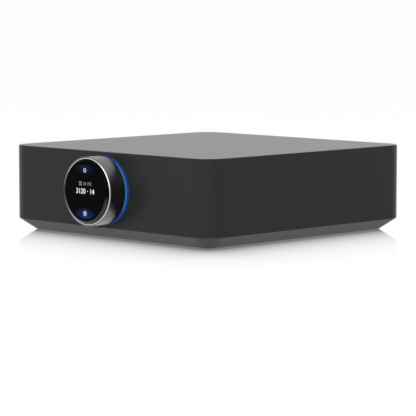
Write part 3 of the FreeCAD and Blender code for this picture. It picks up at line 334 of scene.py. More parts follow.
@dataclass(frozen=True)
class LightGuide:
    """Frosted acrylic ring fed from its two sides: azure there, indigo over its top, its foot and the wall."""

    name: str = "frosted_acrylic"
    tone: str = "#1279bb"
    deep: str = "#213472"
    spill: str = "#0475ff"
    spill_strength: float = 8.25
    strength: float = 1.0
    feed: Triple = (0.985, 0.0, 0.17)
    feed_fade: Pair = (0.55, 0.9)
    axis_z: float = KNOB_AXIS_Z
    wall_y: float = FRONT_WALL_Y
    deep_band: float = 1.5
    spill_band: float = 0.75
    soft_band: float = 0.25
    frost_mm: float = 0.4
    relief_mm: float = 0.02

    def build(self) -> Material:
        """Builds the material.

        Returns:
            The finished material.
        """
        material, tree, place = new_material(self.name)
        local = tree.add("Mapping",
                         {"Location": (0.0, 0.0, -self.axis_z * MM), "Scale": (1.0, 0.0, 1.0)}, {"Vector": place})
        outward = tree.add("VectorMath", {"operation": "NORMALIZE"}, {0: local})
        along = tree.add("VectorMath", {"operation": "DOT_PRODUCT", 1: self.feed}, {0: outward})
        near_feed = tree.add("Math", {"operation": "ABSOLUTE"}, {0: along.outputs["Value"]})
        frost = tree.add("TexNoise", {"Scale": per_metre(self.frost_mm), "Detail": 4.0}, {"Vector": place})
        even = tree.add("MapRange", ease(*self.feed_fade, 1.0, 0.0), {"Value": near_feed})
        axes = tree.add("SeparateXYZ", links={0: place})
        near_wall, at_wall = (
            tree.add("MapRange", ease((edge - self.soft_band) * MM, (edge + self.soft_band) * MM),
                     {"Value": axes.outputs["Y"]})
            for edge in (self.wall_y - self.deep_band, self.wall_y - self.spill_band))
        depth = tree.add("Math", {"operation": "MAXIMUM"}, {0: near_wall, 1: even})
        colour = tree.add("Mix", {"data_type": "RGBA", 6: linear(self.tone), 7: linear(self.deep)}, {0: depth})
        relief = tree.add("Bump", {"Strength": 0.6, "Distance": self.relief_mm * MM},
                          {"Height": frost.outputs["Fac"]})
        path = tree.add("LightPath")
        seen = tree.add("Math", {"operation": "MAXIMUM"},
                        {0: path.outputs["Is Camera Ray"], 1: path.outputs["Is Singular Ray"]})
        spilt = tree.add("Mix", {"data_type": "RGBA", 6: BLACK, 7: linear(self.spill)}, {0: at_wall})
        shown = tree.add("Mix", {"data_type": "RGBA"}, {0: seen, 6: spilt.outputs[2], 7: colour.outputs[2]})
        level = tree.add("MapRange", span(0.0, 1.0, self.spill_strength, self.strength), {"Value": seen})
        shader = tree.add("BsdfPrincipled", {"Base Color": linear("#080c12"), "Roughness": 0.4},
                          {"Emission Color": shown.outputs[2], "Emission Strength": level, "Normal": relief})
        tree.add("OutputMaterial", links={"Surface": shader})
        return material


# Each finish by the record's slot. The comment says what the real one gives the eye.
FINISHES: dict[str, Surface | DisplayFace | LightGuide] = {
    # Bead-blasted and anodised aluminium: a satin graphite skin that turns pale where it is seen edge-on
    "housing_metal": Surface("bead_blasted_anodised_aluminium", "#2a2b2b", "#2e2e2e", Texture.BLASTED, 0.5, 0.004,
                             0.29, 0.03, metallic=0.2, specular=0.12, cloud_mm=40),
    # Die-cast and powder-coated aluminium: the same graphite, a shade softer, with a low orange-peel relief
    "tray_metal": Surface("powder_coated_die_cast_aluminium", "#363838", "#3a3b3b", Texture.MOULDED, 0.8, 0.006,
                          0.40, 0.04, metallic=0.2, specular=0.12, cloud_mm=40),
    # Diamond-knurled and anodised aluminium: grey where it mirrors the white surroundings, near black where it
    # mirrors the front, with small glints on the points
    "knob_metal": Surface("grey_anodised_aluminium", "#747578", "#6a6b6f", Texture.TURNED, 0.5, 0.001,
                          0.11, 0.03, metallic=1.0, cloud_mm=20),
    # Diamond-cut and polished aluminium: a bright thin ring with faint turning lines
    "polished_metal": Surface("diamond_cut_aluminium", "#d6d7d9", "#c6c7ca", Texture.TURNED, 0.3, 0.001,
                              0.22, 0.04, metallic=1.0, cloud_mm=12),
    "cover_glass": DisplayFace(),
    # Black display frame: an even gloss black behind the glass
    "display_panel": Surface("black_polycarbonate", "#0c0c0e", "#121214", Texture.MOULDED, 0.6, 0.002, 0.22),
    "light_guide": LightGuide(),
    # Glass-filled nylon: matte black with the fine flow of its fibres
    "glass_filled_nylon": Surface("glass_filled_nylon", "#161617", "#202122", Texture.MOULDED, 0.5, 0.01, 0.6),
    # Bare die-cast aluminium: light grey with a dull grain
    "cast_metal": Surface("bare_die_cast_aluminium", "#a9abad", "#8f9194", Texture.BLASTED, 0.8, 0.02,
                          0.42, metallic=1.0),
    # Acetal: waxy off-white
    "bearing_plastic": Surface("acetal", "#ddd9cf", "#cfcabd", Texture.TURNED, 0.6, 0.004, 0.4),
    # Stamped spring steel: grey with drawn lines
    "spring_steel": Surface("stamped_spring_steel", "#8d8f92", "#6f7174", Texture.BRUSHED, 0.3, 0.004,
                            0.35, metallic=1.0),
    # Bonded magnet: dark grey and chalky
    "magnet": Surface("bonded_ferrite_magnet", "#2b2b2d", "#38383a", Texture.BLASTED, 0.5, 0.02, 0.7),
    # Solder mask over copper tracks on glass-fibre laminate: deep green, lighter over the tracks
    "board": Surface("solder_mask_on_laminate", "#0d3a22", "#1c5c36", Texture.LAMINATE, 7.0, 0.03, 0.34, 0.05,
                     coat=0.25, cloud_mm=30),
    # Black-oxide steel: blue-black and slightly oily
    "black_screw": Surface("black_oxide_steel", "#26282b", "#17181a", Texture.TURNED, 0.3, 0.004, 0.4,
                           metallic=1.0, cloud_mm=3),
    # Zinc-plated steel: silver with a milky cast
    "zinc_screw": Surface("zinc_plated_steel", "#b4b8ba", "#94999d", Texture.BLASTED, 0.5, 0.004, 0.3,
                          metallic=1.0, cloud_mm=3),
    # Moulded ABS with a fine spark texture: even matte black
    "rear_plastic": Surface("spark_textured_abs", "#1b1c1d", "#252627", Texture.MOULDED, 0.45, 0.02, 0.55,
                            0.05, cloud_mm=25),
    # Moulded nylon of the sockets: plain black with a low sheen
    "socket_plastic": Surface("moulded_nylon", "#141415", "#1d1d1f", Texture.MOULDED, 0.7, 0.006, 0.42),
    # Gold plate over brass: warm and bright
    "gold_plate": Surface("gold_plated_brass", "#e3b964", "#cf9e46", Texture.TURNED, 0.35, 0.003, 0.22,
                          metallic=1.0, cloud_mm=5),
    # Nickel plate: bright with a faint yellow cast
    "nickel_plate": Surface("nickel_plated_steel", "#c3c0b8", "#a8a59c", Texture.BRUSHED, 0.35, 0.003, 0.24,
                            metallic=1.0, cloud_mm=6),
    # Glossy polycarbonate cap, red for plus
    "red_plastic": Surface("red_polycarbonate", "#a3161a", "#8c1014", Texture.MOULDED, 0.9, 0.003, 0.2, 0.05,
                           coat=0.3, cloud_mm=6),
    # Glossy polycarbonate cap, black for minus
    "dark_cap_plastic": Surface("black_polycarbonate_cap", "#131314", "#1c1c1e", Texture.MOULDED, 0.9, 0.003,
                                0.22, 0.05, coat=0.3, cloud_mm=6),
    # Moulded rubber: dull black, slightly dusty
    "rubber": Surface("moulded_rubber", "#1a1a1a", "#2a2a29", Texture.BLASTED, 0.6, 0.02, 0.85, cloud_mm=5),
    # Extruded aluminium: silver with lines along the extrusion
    "bare_aluminium": Surface("extruded_aluminium", "#c0c2c4", "#a4a6a9", Texture.BRUSHED, 0.6, 0.01, 0.34,
                              metallic=1.0),
    # Sintered ferrite: charcoal, dry and slightly rough
    "ferrite": Surface("sintered_ferrite", "#2c2c2e", "#3a3a3c", Texture.BLASTED, 0.7, 0.03, 0.62),
    # Polyester tape over a winding: yellow film in laps
    "winding_tape": Surface("polyester_tape", "#c79a16", "#a87c0c", Texture.WOUND, 3.0, 0.05, 0.25, coat=0.2),
    # Shrink sleeve over a can: dark blue and glossy
    "capacitor_sleeve": Surface("shrink_sleeve", "#141b38", "#1c2547", Texture.WOUND, 12.0, 0.01, 0.28, coat=0.2),
    # Moulded epoxy of a chip: matte black with a fine speckle
    "chip_plastic": Surface("moulded_epoxy", "#18181a", "#242426", Texture.BLASTED, 0.3, 0.01, 0.6),
    # Polyimide film of a flat cable: amber
    "flex_film": Surface("polyimide_film", "#9a5a12", "#b8741c", Texture.BRUSHED, 1.0, 0.01, 0.3, coat=0.3),
}


@cache
def finish(slot: str) -> Material:
    """Gives the material of one of the record's slots, built on its first use."""
    return FINISHES[slot].build()


def dress_nodes() -> None:
    """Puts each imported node's finish on it, by the record's slots."""
    for part in frame["record"]["subparts"]:
        materials = frame["nodes"][part["node"]].data.materials
        materials.clear()
        materials.append(finish(part["material_slot"]))
        log.info("dressed %s in %s", part["node"], part["material_slot"])


def add_object(name: str, data: ID) -> Object:
    """Adds an object to the scene.

    Args:
        name: Its name.
        data: Its mesh, text, lamp or camera.

    Returns:
        The new object.
    """
    made = bpy.data.objects.new(name, data)
    bpy.context.scene.collection.objects.link(made)
    return made


def make_piece(name: str, data: MeshData, slot: str, body: str, stands_for: Sequence[str] = (),
               sharp_degrees: float = 35.0, ink: Material | None = None) -> None:
    """Makes a piece from a mesh in millimetres and ties it to its body.

    Args:
        name: The piece's name.
        data: Corners in millimetres and faces.
        slot: The record's slot of its finish.
        body: The body that it rides on.
        stands_for: Nodes that it replaces.
        sharp_degrees: Edges that bend more than this stay crisp.
        ink: The material of a lit mark, in place of the slot's finish.
    """
    corners, faces = data
    mesh = bpy.data.meshes.new(name)
    mesh.from_pydata([Vector(c) * MM for c in corners], [], faces)
    mesh.validate()
    mesh.shade_smooth()
    mesh.set_sharp_from_angle(angle=math.radians(sharp_degrees))
    mesh.materials.append(ink or finish(slot))
    piece = add_object(name, mesh)
    if stands_for:
        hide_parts(*stands_for)
    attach(piece, body)
    log.info("made %s with %d faces", name, len(faces))


def join(parts: Sequence[MeshData]) -> MeshData:
    """Puts several meshes into one.

    Args:
        parts: The meshes.

    Returns:
        One mesh that holds them all.
    """
    corners: Corners = []
    faces: Faces = []
    for some_corners, some_faces in parts:
        start = len(corners)
        corners += some_corners
        faces += [tuple(start + i for i in face) for face in some_faces]
    return corners, faces


def soften(points: Profile, radius: float, steps: int = 4) -> Profile:
    """Rounds every corner of a closed profile that isn't on its axis.

    Args:
        points: The profile's corners in order.
        radius: The rounding, cut down where a side is short.
        steps: Points on each rounding, less one.

    Returns:
        The softened profile.
    """
    result: Profile = []
    count = len(points)
    for i, (r, y) in enumerate(points):
        if r == 0:
            result.append((r, y))
            continue
        before = Vector(points[i - 1]) - Vector((r, y))
        after = Vector(points[(i + 1) % count]) - Vector((r, y))
        reach = min(radius, before.length * ROUND_SHARE, after.length * ROUND_SHARE)
        start = Vector((r, y)) + before.normalized() * reach
        end = Vector((r, y)) + after.normalized() * reach
        for k in range(steps + 1):
            t = k / steps
            spot = start * (1 - t) ** 2 + Vector((r, y)) * 2 * t * (1 - t) + end * t * t
            result.append((spot.x, spot.y))
    return result


def lathe(profile: Profile, x: float, z: float, segments: int = 96, bend: Bend | None = None) -> MeshData:
    """Turns a closed profile about an axis along Y.

    Args:
        profile: Pairs of radius and Y, in millimetres.
        x: The axis's place across.
        z: The axis's height.
        segments: Steps round the axis.
        bend: Gives the radius at an angle from that angle, the profile's radius and Y, or none.

    Returns:
        The turned mesh.
    """
    corners: Corners = []
    count = len(profile)
    for s in range(segments):
        angle = 2 * math.pi * s / segments
        for r, y in profile:
            reach = bend(angle, r, y) if bend else r
            corners.append((x + reach * math.cos(angle), y, z + reach * math.sin(angle)))
    faces: Faces = []
    for s in range(segments):
        here = s * count
        there = ((s + 1) % segments) * count
        for i in range(count):
            j = (i + 1) % count
            if profile[i][0] == 0 and profile[j][0] == 0:
                continue
            faces.append((here + i, here + j, there + j, there + i))
    return corners, faces


def turn_on_knob_axis(points: Profile, edge: float, steps: int, segments: int) -> MeshData:
    """Softens a closed profile and turns it about the knob's axis.

    Args:
        points: Pairs of radius and place in front of the front wall.
        edge: The rounding of its edges.
        steps: Points on each rounding, less one.
        segments: Steps round the axis.

    Returns:
        The turned mesh.
    """
    return lathe(soften([(r, FRONT_WALL_Y - p) for r, p in points], edge, steps), 0, KNOB_AXIS_Z, segments)


@dataclass
class Knob:
    """The turning ring: a diamond-knurled rim with its hub and web, and the polished ring in its front."""

    radius: float = 26.35
    inner_radius: float = 25.1
    back_p: float = 3.1
    seam_p: float = 18.2
    front_p: float = 18.5
    trim_radius: float = 25.85
    trim_chamfer: float = 0.5
    trim_bore: float = 24.8
    hub_bore: float = 17.45
    hub_radius: float = 19.6
    hub_back_p: float = 4.3
    hub_front_p: float = 12.2
    web_back_p: float = 9.7
    web_outer_radius: float = 24.4
    spigot_p: float = 16.3
    back_band: float = 0.7
    front_band: float = 0.6
    diamonds_round: int = 81
    diamond_length: float = 2.35
    diamond_depth: float = 0.12
    groove_share: float = 0.26
    samples: int = 10
    # The rounded ends of the rim: the place from its back or its seam, and the drop there
    back_edge: tuple[Pair, ...] = ((0.0, -0.3), (0.09, -0.09), (0.3, 0.0))
    seam_edge: tuple[Pair, ...] = ((-0.05, 0.0), (0.0, -0.04))
    knurl_ramp: float = 0.05
    lip_back: float = 0.08
    lip_gap: float = 0.03
    edge_soft: float = 0.12
    skin_gap: float = 0.1
    fit: float = 0.02
    body: str = "knob"

    def knurl_height(self, turn: float, along: float) -> float:
        """Gives the height of the diamond pattern at one place.

        Args:
            turn: Place round the rim, in diamonds.
            along: Place along the axis, in diamonds.

        Returns:
            The height, 0 in a groove and 1 on a diamond's flat.
        """
        ridges = [1 - abs(2 * (place % 1.0) - 1) for place in (turn + along, turn - along)]
        return min(1.0, min(ridges) / self.groove_share)

    def rim(self) -> MeshData:
        """Builds the knurled outer face with its plain bands and rounded ends.

        Returns:
            The outer face, open towards the knob's inside.
        """
        low = self.back_p + self.back_band
        high = self.seam_p - self.front_band
        rows = round((high - low) / self.diamond_length * self.samples)
        round_steps = self.diamonds_round * self.samples
        stations = [(self.back_p + p, drop, 0.0) for p, drop in self.back_edge]
        stations.append((low - self.knurl_ramp, 0.0, 0.0))
        stations += [(low + (high - low) * i / rows, 0.0, 1.0) for i in range(rows + 1)]
        stations.append((high + self.knurl_ramp, 0.0, 0.0))
        stations += [(self.seam_p + p, drop, 0.0) for p, drop in self.seam_edge]
        stations.append((self.front_p - self.lip_back, self.trim_radius + self.lip_gap - self.radius, 0.0))
        corners: Corners = []
        for s in range(round_steps):
            angle = 2 * math.pi * s / round_steps
            for p, drop, knurled in stations:
                height = self.knurl_height(s / self.samples, (p - low) / self.diamond_length)
                r = self.radius + drop - knurled * self.diamond_depth * (1 - height)
                corners.append((r * math.cos(angle), FRONT_WALL_Y - p, KNOB_AXIS_Z + r * math.sin(angle)))
        count = len(stations)
        faces: Faces = []
        for s in range(round_steps):
            here = s * count
            there = ((s + 1) % round_steps) * count
            for i in range(count - 1):
                faces.append((here + i, there + i, there + i + 1, here + i + 1))
        return corners, faces

    def inside(self) -> MeshData:
        """Builds the hub, the web and the rim's inner and end faces.

        Returns:
            The turned mesh, a hair smaller than the knurled face that closes it.
        """
        skin = self.radius - self.diamond_depth - self.skin_gap
        seat = self.trim_radius + self.fit
        return turn_on_knob_axis([
            (self.hub_bore, self.hub_back_p), (self.hub_radius, self.hub_back_p),
            (self.hub_radius, self.web_back_p), (self.web_outer_radius, self.web_back_p),
            (self.web_outer_radius, self.back_p), (skin, self.back_p), (skin, self.seam_p), (seat, self.seam_p),
            (seat, self.spigot_p), (self.inner_radius, self.spigot_p), (self.inner_radius, self.hub_front_p),
            (self.hub_bore, self.hub_front_p)], self.edge_soft, 2, 160)

    def build(self) -> None:
        """Makes the knob's two pieces."""
        make_piece("knurled_knob", join([self.rim(), self.inside()]), "knob_metal", self.body,
                   ["knob_ring"], sharp_degrees=22.0)
        r, bore, front, chamfer = self.trim_radius, self.trim_bore, self.front_p, self.trim_chamfer
        ring = [(bore, self.spigot_p), (r, self.spigot_p), (r, front - chamfer), (r - chamfer, front),
                (bore, front)]
        make_piece("polished_trim_ring", turn_on_knob_axis(ring, self.edge_soft, 4, 256), "polished_metal",
                   self.body, ["knob_trim_ring"])


@dataclass
class Display:
    """The fixed cover glass with the marks that its display shows."""

    axis_z: float = KNOB_AXIS_Z
    back_y: float = -128.6
    front_y: float = -131.46
    radius: float = 24.6
    edge_round: float = 2.4
    edge_steps: int = 16
    back_bevel: float = 0.15
    mark_lift: float = 0.012
    mark_x: float = -0.1
    icon_z: float = 16.2
    icon_radii: Pair = (1.75, 0.7)
    disc_z: float = -16.4
    disc_radii: Pair = (1.95, 0.85)
    cell_middle: Pair = (-5.0, 6.1)
    cell_step: float = 0.85
    cell_half: float = 0.66
    # The lines of plain numbers: name, digits, size, middle across and upwards, and how much strokes thicken
    lines: tuple[tuple[str, str, float, float, float, float], ...] = (
        ("small_number", "24 192", 3.4, 2.6, 6.0, 0.05), ("large_number", "3120 · 14", 5.4, 0.2, 0.2, 0.08))
    body: str = "chassis"

    def glass(self) -> MeshData:
        """Builds the cover glass with its rounded edge.

        Returns:
            The turned mesh.
        """
        points: Profile = [(0.0, self.back_y), (self.radius - self.back_bevel, self.back_y),
                           (self.radius, self.back_y - self.back_bevel)]
        for i in range(self.edge_steps + 1):
            angle = math.pi / 2 * i / self.edge_steps
            points.append((self.radius - self.edge_round * (1 - math.cos(angle)),
                           self.front_y + self.edge_round * (1 - math.sin(angle))))
        points.append((0.0, self.front_y))
        return lathe(points, 0, self.axis_z, 256)

    def plate(self, outline: Profile, hole: Sequence[Pair] = ()) -> MeshData:
        """Builds a thin lit mark from its outline, and from its hole with as many corners.

        Args:
            outline: Corners from the display's middle, as seen from the front.
            hole: Corners of the opening, or none.

        Returns:
            The mark's mesh, just proud of the glass.
        """
        y = self.front_y - self.mark_lift
        corners = [(u, y, self.axis_z + v) for u, v in outline]
        if not hole:
            return corners, [tuple(range(len(corners)))]
        count = len(outline)
        corners += [(u, y, self.axis_z + v) for u, v in hole]
        faces = [(i, (i + 1) % count, count + (i + 1) % count, count + i) for i in range(count)]
        return corners, faces

    def ring_points(self, u: float, v: float, radius: float, count: int, turn: float = 0.0) -> Profile:
        """Gives the corners of a regular outline.

        Args:
            u: Its centre across.
            v: Its centre upwards.
            radius: Its reach.
            count: Its corners.
            turn: Its turn in degrees.

        Returns:
            The corners in order.
        """
        angles = [2 * math.pi * i / count + math.radians(turn) for i in range(count)]
        return [(u + radius * math.cos(a), v + radius * math.sin(a)) for a in angles]

    def icons(self) -> dict[str, MeshData]:
        """Builds the plain marks at the top, at the bottom and before the small number.

        Returns:
            The meshes by name.
        """
        x = self.mark_x
        nut = self.plate(self.ring_points(x, self.icon_z, self.icon_radii[0], 24, 7.5),
                         self.ring_points(x, self.icon_z, self.icon_radii[1], 24))
        disc = self.plate(self.ring_points(x, self.disc_z, self.disc_radii[0], 40))
        corners, faces = self.plate(self.ring_points(x, self.disc_z, self.disc_radii[1], 32))
        core = ([(u, y - self.mark_lift, z) for u, y, z in corners], faces)
        (u, v), step, half = self.cell_middle, self.cell_step, self.cell_half
        square = ((-half, -half), (half, -half), (half, half), (-half, half))
        cells = [self.plate([(u + du + a, v + dv + b) for a, b in square])
                 for du in (-step, step) for dv in (-step, step)]
        return {"nut_mark": nut, "disc_mark": disc, "grid_mark": join(cells), "disc_core_mark": core}

    def numbers(self, inks: dict[str, Material]) -> None:
        """Makes the lines of plain numbers.

        Args:
            inks: The lit material of each piece, by its name.
        """
        for name, words, size, u, v, weight in self.lines:
            line = bpy.data.curves.new(name, "FONT")
            line.body = words
            line.size = size * MM
            line.align_x = line.align_y = "CENTER"
            line.offset = weight * MM
            line.materials.append(inks[name])
            piece = add_object(name, line)
            piece.rotation_euler = (math.radians(90), 0, 0)
            piece.location = Vector((u, self.front_y - self.mark_lift, self.axis_z + v)) * MM
            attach(piece, self.body)
            log.info("made %s", name)

    def build(self) -> None:
        """Makes the glass and its marks."""
        make_piece("cover_glass", self.glass(), "cover_glass", self.body, ["display_glass"], sharp_degrees=50.0)
        bright = LitInk("lit_white_dots", "#f2f4f6").build()
        grey = LitInk("lit_grey_dots", "#a9acb0").build()
        dim = LitInk("lit_dim_dots", "#7c8086").build()
        inks = {"nut_mark": grey, "disc_mark": grey, "grid_mark": dim, "disc_core_mark": dim,
                "small_number": dim, "large_number": bright}
        for name, data in self.icons().items():
            make_piece(name, data, "cover_glass", self.body, ink=inks[name])
        self.numbers(inks)


@dataclass
class LightRing:
    """The acrylic ring that glows behind the knob."""

    bore: float = 19.9
    throat_radius: float = 23.0
    throat_p: float = -6.5
    radius: float = 25.8
    front_p: float = 2.7
    edge_soft: float = 0.2
    body: str = "chassis"

    def build(self) -> None:
        """Makes the ring."""
        points = [(self.bore, self.throat_p), (self.throat_radius, self.throat_p), (self.throat_radius, 0.0),
                  (self.radius, 0.0), (self.radius, self.front_p), (self.bore, self.front_p)]
        ring = turn_on_knob_axis(points, self.edge_soft, 3, 192)
        make_piece("glowing_light_ring", ring, "light_guide", self.body, ["light_ring"])


def facing_down(data: MeshData) -> MeshData:
    """Tips a turned mesh over, so that what faced the rear faces the floor."""
    return [(x, z, -y) for x, y, z in data[0]], data[1]


@dataclass
class BindingPosts:
    """The four posts: a dark flange on the panel, and a fluted cap that screws out along its shaft."""

    columns: tuple[tuple[str, float], ...] = (("right", 62.0), ("left", 43.0))
    rows: tuple[tuple[str, float, str], ...] = (("plus", 46.5, "red_plastic"), ("minus", 27.5, "dark_cap_plastic"))
    inner_y: float = 107.5
    panel_y: float = REAR_PANEL_Y
    flange_front_y: float = 112.5
    shaft_radius: float = 2.9
    neck_radius: float = 4.5
    flange_radius: float = 7.2
    flange_chamfer: float = 0.6
    cap_back_y: float = 112.8
    cap_front_y: float = 131.5
    cap_radius: float = 6.2
    skirt_bore: float = 3.3
    seat_bore: float = 4.3
    seat_back_y: float = 118.35
    seat_front_y: float = 129.05
    mouth_radius: float = 2.6
    back_chamfer: float = 0.5
    front_chamfer: float = 0.8
    edge_soft: float = 0.25
    flutes: int = 6
    flute_samples: int = 24
    flute_steps: int = 8
    flute_radius: float = 2.6
    flute_depth: float = 0.7
    flute_back_y: float = 114.8
    flute_front_y: float = 129.0
    run_out: float = 1.6
    edge_blend: float = 0.16
    groove_y: float = 129.95
    groove_half: float = 0.28
    groove_depth: float = 0.22

    def flute(self, angle: float, r: float, y: float) -> float:
        """Gives the cap's radius with its flutes cut in.

        Args:
            angle: The place round the axis.
            r: The profile's radius.
            y: The place along the axis.

        Returns:
            The radius there.
        """
        from_end = min(y - self.flute_back_y, self.flute_front_y - y)
        if r < self.cap_radius - HAIR or from_end < 0:
            return r
        depth = self.flute_depth * math.sin(math.pi / 2 * min(1.0, from_end / self.run_out))
        centre = self.cap_radius + self.flute_radius - depth
        step = 2 * math.pi / self.flutes
        off = (angle + step / 2) % step - step / 2
        across = centre * math.sin(off)
        if abs(across) >= self.flute_radius:
            return r
        cut = centre * math.cos(off) - math.sqrt(self.flute_radius ** 2 - across ** 2)
        blend = max(self.edge_blend - abs(cut - r), 0) / self.edge_blend
        return min(cut, r) - blend ** 2 * self.edge_blend / 4 * min(1.0, depth / self.flute_depth)

    def cap_profile(self) -> Profile:
        """Builds the cap's profile, with extra stations where its flutes run out.

        Returns:
            The profile.
        """
        r, half, back, front = self.cap_radius, self.groove_half, self.cap_back_y, self.cap_front_y
        low = r - self.groove_depth
        profile = soften([
            (self.skirt_bore, back), (r - self.back_chamfer, back), (r, back + self.back_chamfer),
            (r, self.groove_y - half), (low, self.groove_y - half / 2),
            (low, self.groove_y + half / 2), (r, self.groove_y + half),
            (r, front - self.front_chamfer), (r - self.front_chamfer, front), (self.mouth_radius, front),
            (self.mouth_radius, self.seat_front_y), (self.seat_bore, self.seat_front_y),
            (self.seat_bore, self.seat_back_y), (self.skirt_bore, self.seat_back_y)], self.edge_soft, 3)
        behind = max(i for i, (_, y) in enumerate(profile) if y < self.flute_back_y)
        steps = [self.run_out * k / self.flute_steps for k in range(self.flute_steps + 1)]
        stations = [(r, self.flute_back_y + step) for step in steps]
        stations += [(r, self.flute_front_y - step) for step in reversed(steps)]
        profile[behind + 1:behind + 1] = stations
        return profile

    def build(self) -> None:
        """Makes the flanges and the caps."""
        rim, front = self.flange_radius, self.flange_front_y
        flange = soften([
            (self.shaft_radius, self.inner_y), (self.neck_radius, self.inner_y), (self.neck_radius, self.panel_y),
            (rim, self.panel_y), (rim, front - self.flange_chamfer), (rim - self.flange_chamfer, front),
            (self.shaft_radius, front)], self.edge_soft, 3)
        flanges = []
        for column, x in self.columns:
            for row, z, slot in self.rows:
                flanges.append(lathe(flange, x, z, 72))
                cap = lathe(self.cap_profile(), x, z, self.flutes * self.flute_samples, self.flute)
                make_piece(f"fluted_cap_{column}_{row}", cap, slot, f"cap_{column}_{row}",
                           [f"post_cap_{column}_{row}"])
        make_piece("post_flange_rings", join(flanges), "dark_cap_plastic", "chassis", ["post_flanges"])


@dataclass
class Screws:
    """Pan-head screws with a six-lobed recess, on the rear panel and under the tray."""

    panel_places: tuple[Pair, ...] = (
        (-82.5, 17.5), (82.5, 17.5), (-82.5, 56.5), (82.5, 56.5), (0.0, 17.5), (0.0, 56.5))
    panel_sizes: tuple[float, float, float, float, float] = (110.0, 2.4, 1.6, 1.4, 7.0)
    tray_places: tuple[Pair, ...] = ((-90.0, -90.0), (90.0, -90.0), (-90.0, 90.0), (90.0, 90.0))
    tray_sizes: tuple[float, float, float, float, float] = (-1.9, 2.8, 1.2, 1.5, 10.6)
    recess_share: float = 0.52
    recess_depth_share: float = 0.6
    crown_radius_share: float = 0.8
    crown_height_share: float = 0.55
    lobes: int = 6
    lobe_samples: int = 12
    lobe_depth: float = 0.24
    lobe_reach: float = 1.05

    def heads(self, places: Sequence[Pair], sizes: Sequence[float]) -> MeshData:
        """Builds one screw at each place.

        Args:
            places: The axes' places across and up.
            sizes: The seat's Y, the head's radius and height, and the shank's radius and length.

        Returns:
            The screws in one mesh.
        """
        seat, head_radius, head_height, shank_radius, length = sizes
        top = seat + head_height
        recess = head_radius * self.recess_share
        floor = top - head_height * self.recess_depth_share
        profile = soften([
            (0.0, seat - length), (shank_radius, seat - length), (shank_radius, seat), (head_radius, seat),
            (head_radius, seat + head_height * self.crown_height_share),
            (head_radius * self.crown_radius_share, top), (recess, top), (recess, floor), (0.0, floor)], 0.12, 3)

        def lobed(angle: float, r: float, y: float) -> float:
            """Gives the recess its lobes and leaves the rest round.

            Args:
                angle: The place round the axis.
                r: The profile's radius.
                y: The place along the axis.

            Returns:
                The radius there.
            """
            if y < floor - HAIR or r > recess * self.lobe_reach:
                return r
            return r * (1 - self.lobe_depth * (0.5 - 0.5 * math.cos(self.lobes * angle)))

        return join([lathe(profile, x, z, self.lobes * self.lobe_samples, lobed) for x, z in places])

    def build(self) -> None:
        """Makes both sets."""
        panel = self.heads(self.panel_places, self.panel_sizes)
        make_piece("lobed_panel_screws", panel, "black_screw", "chassis", ["rear_panel_screws"])
        tray = facing_down(self.heads(self.tray_places, self.tray_sizes))
        make_piece("lobed_tray_screws", tray, "black_screw", "chassis", ["tray_screws"])


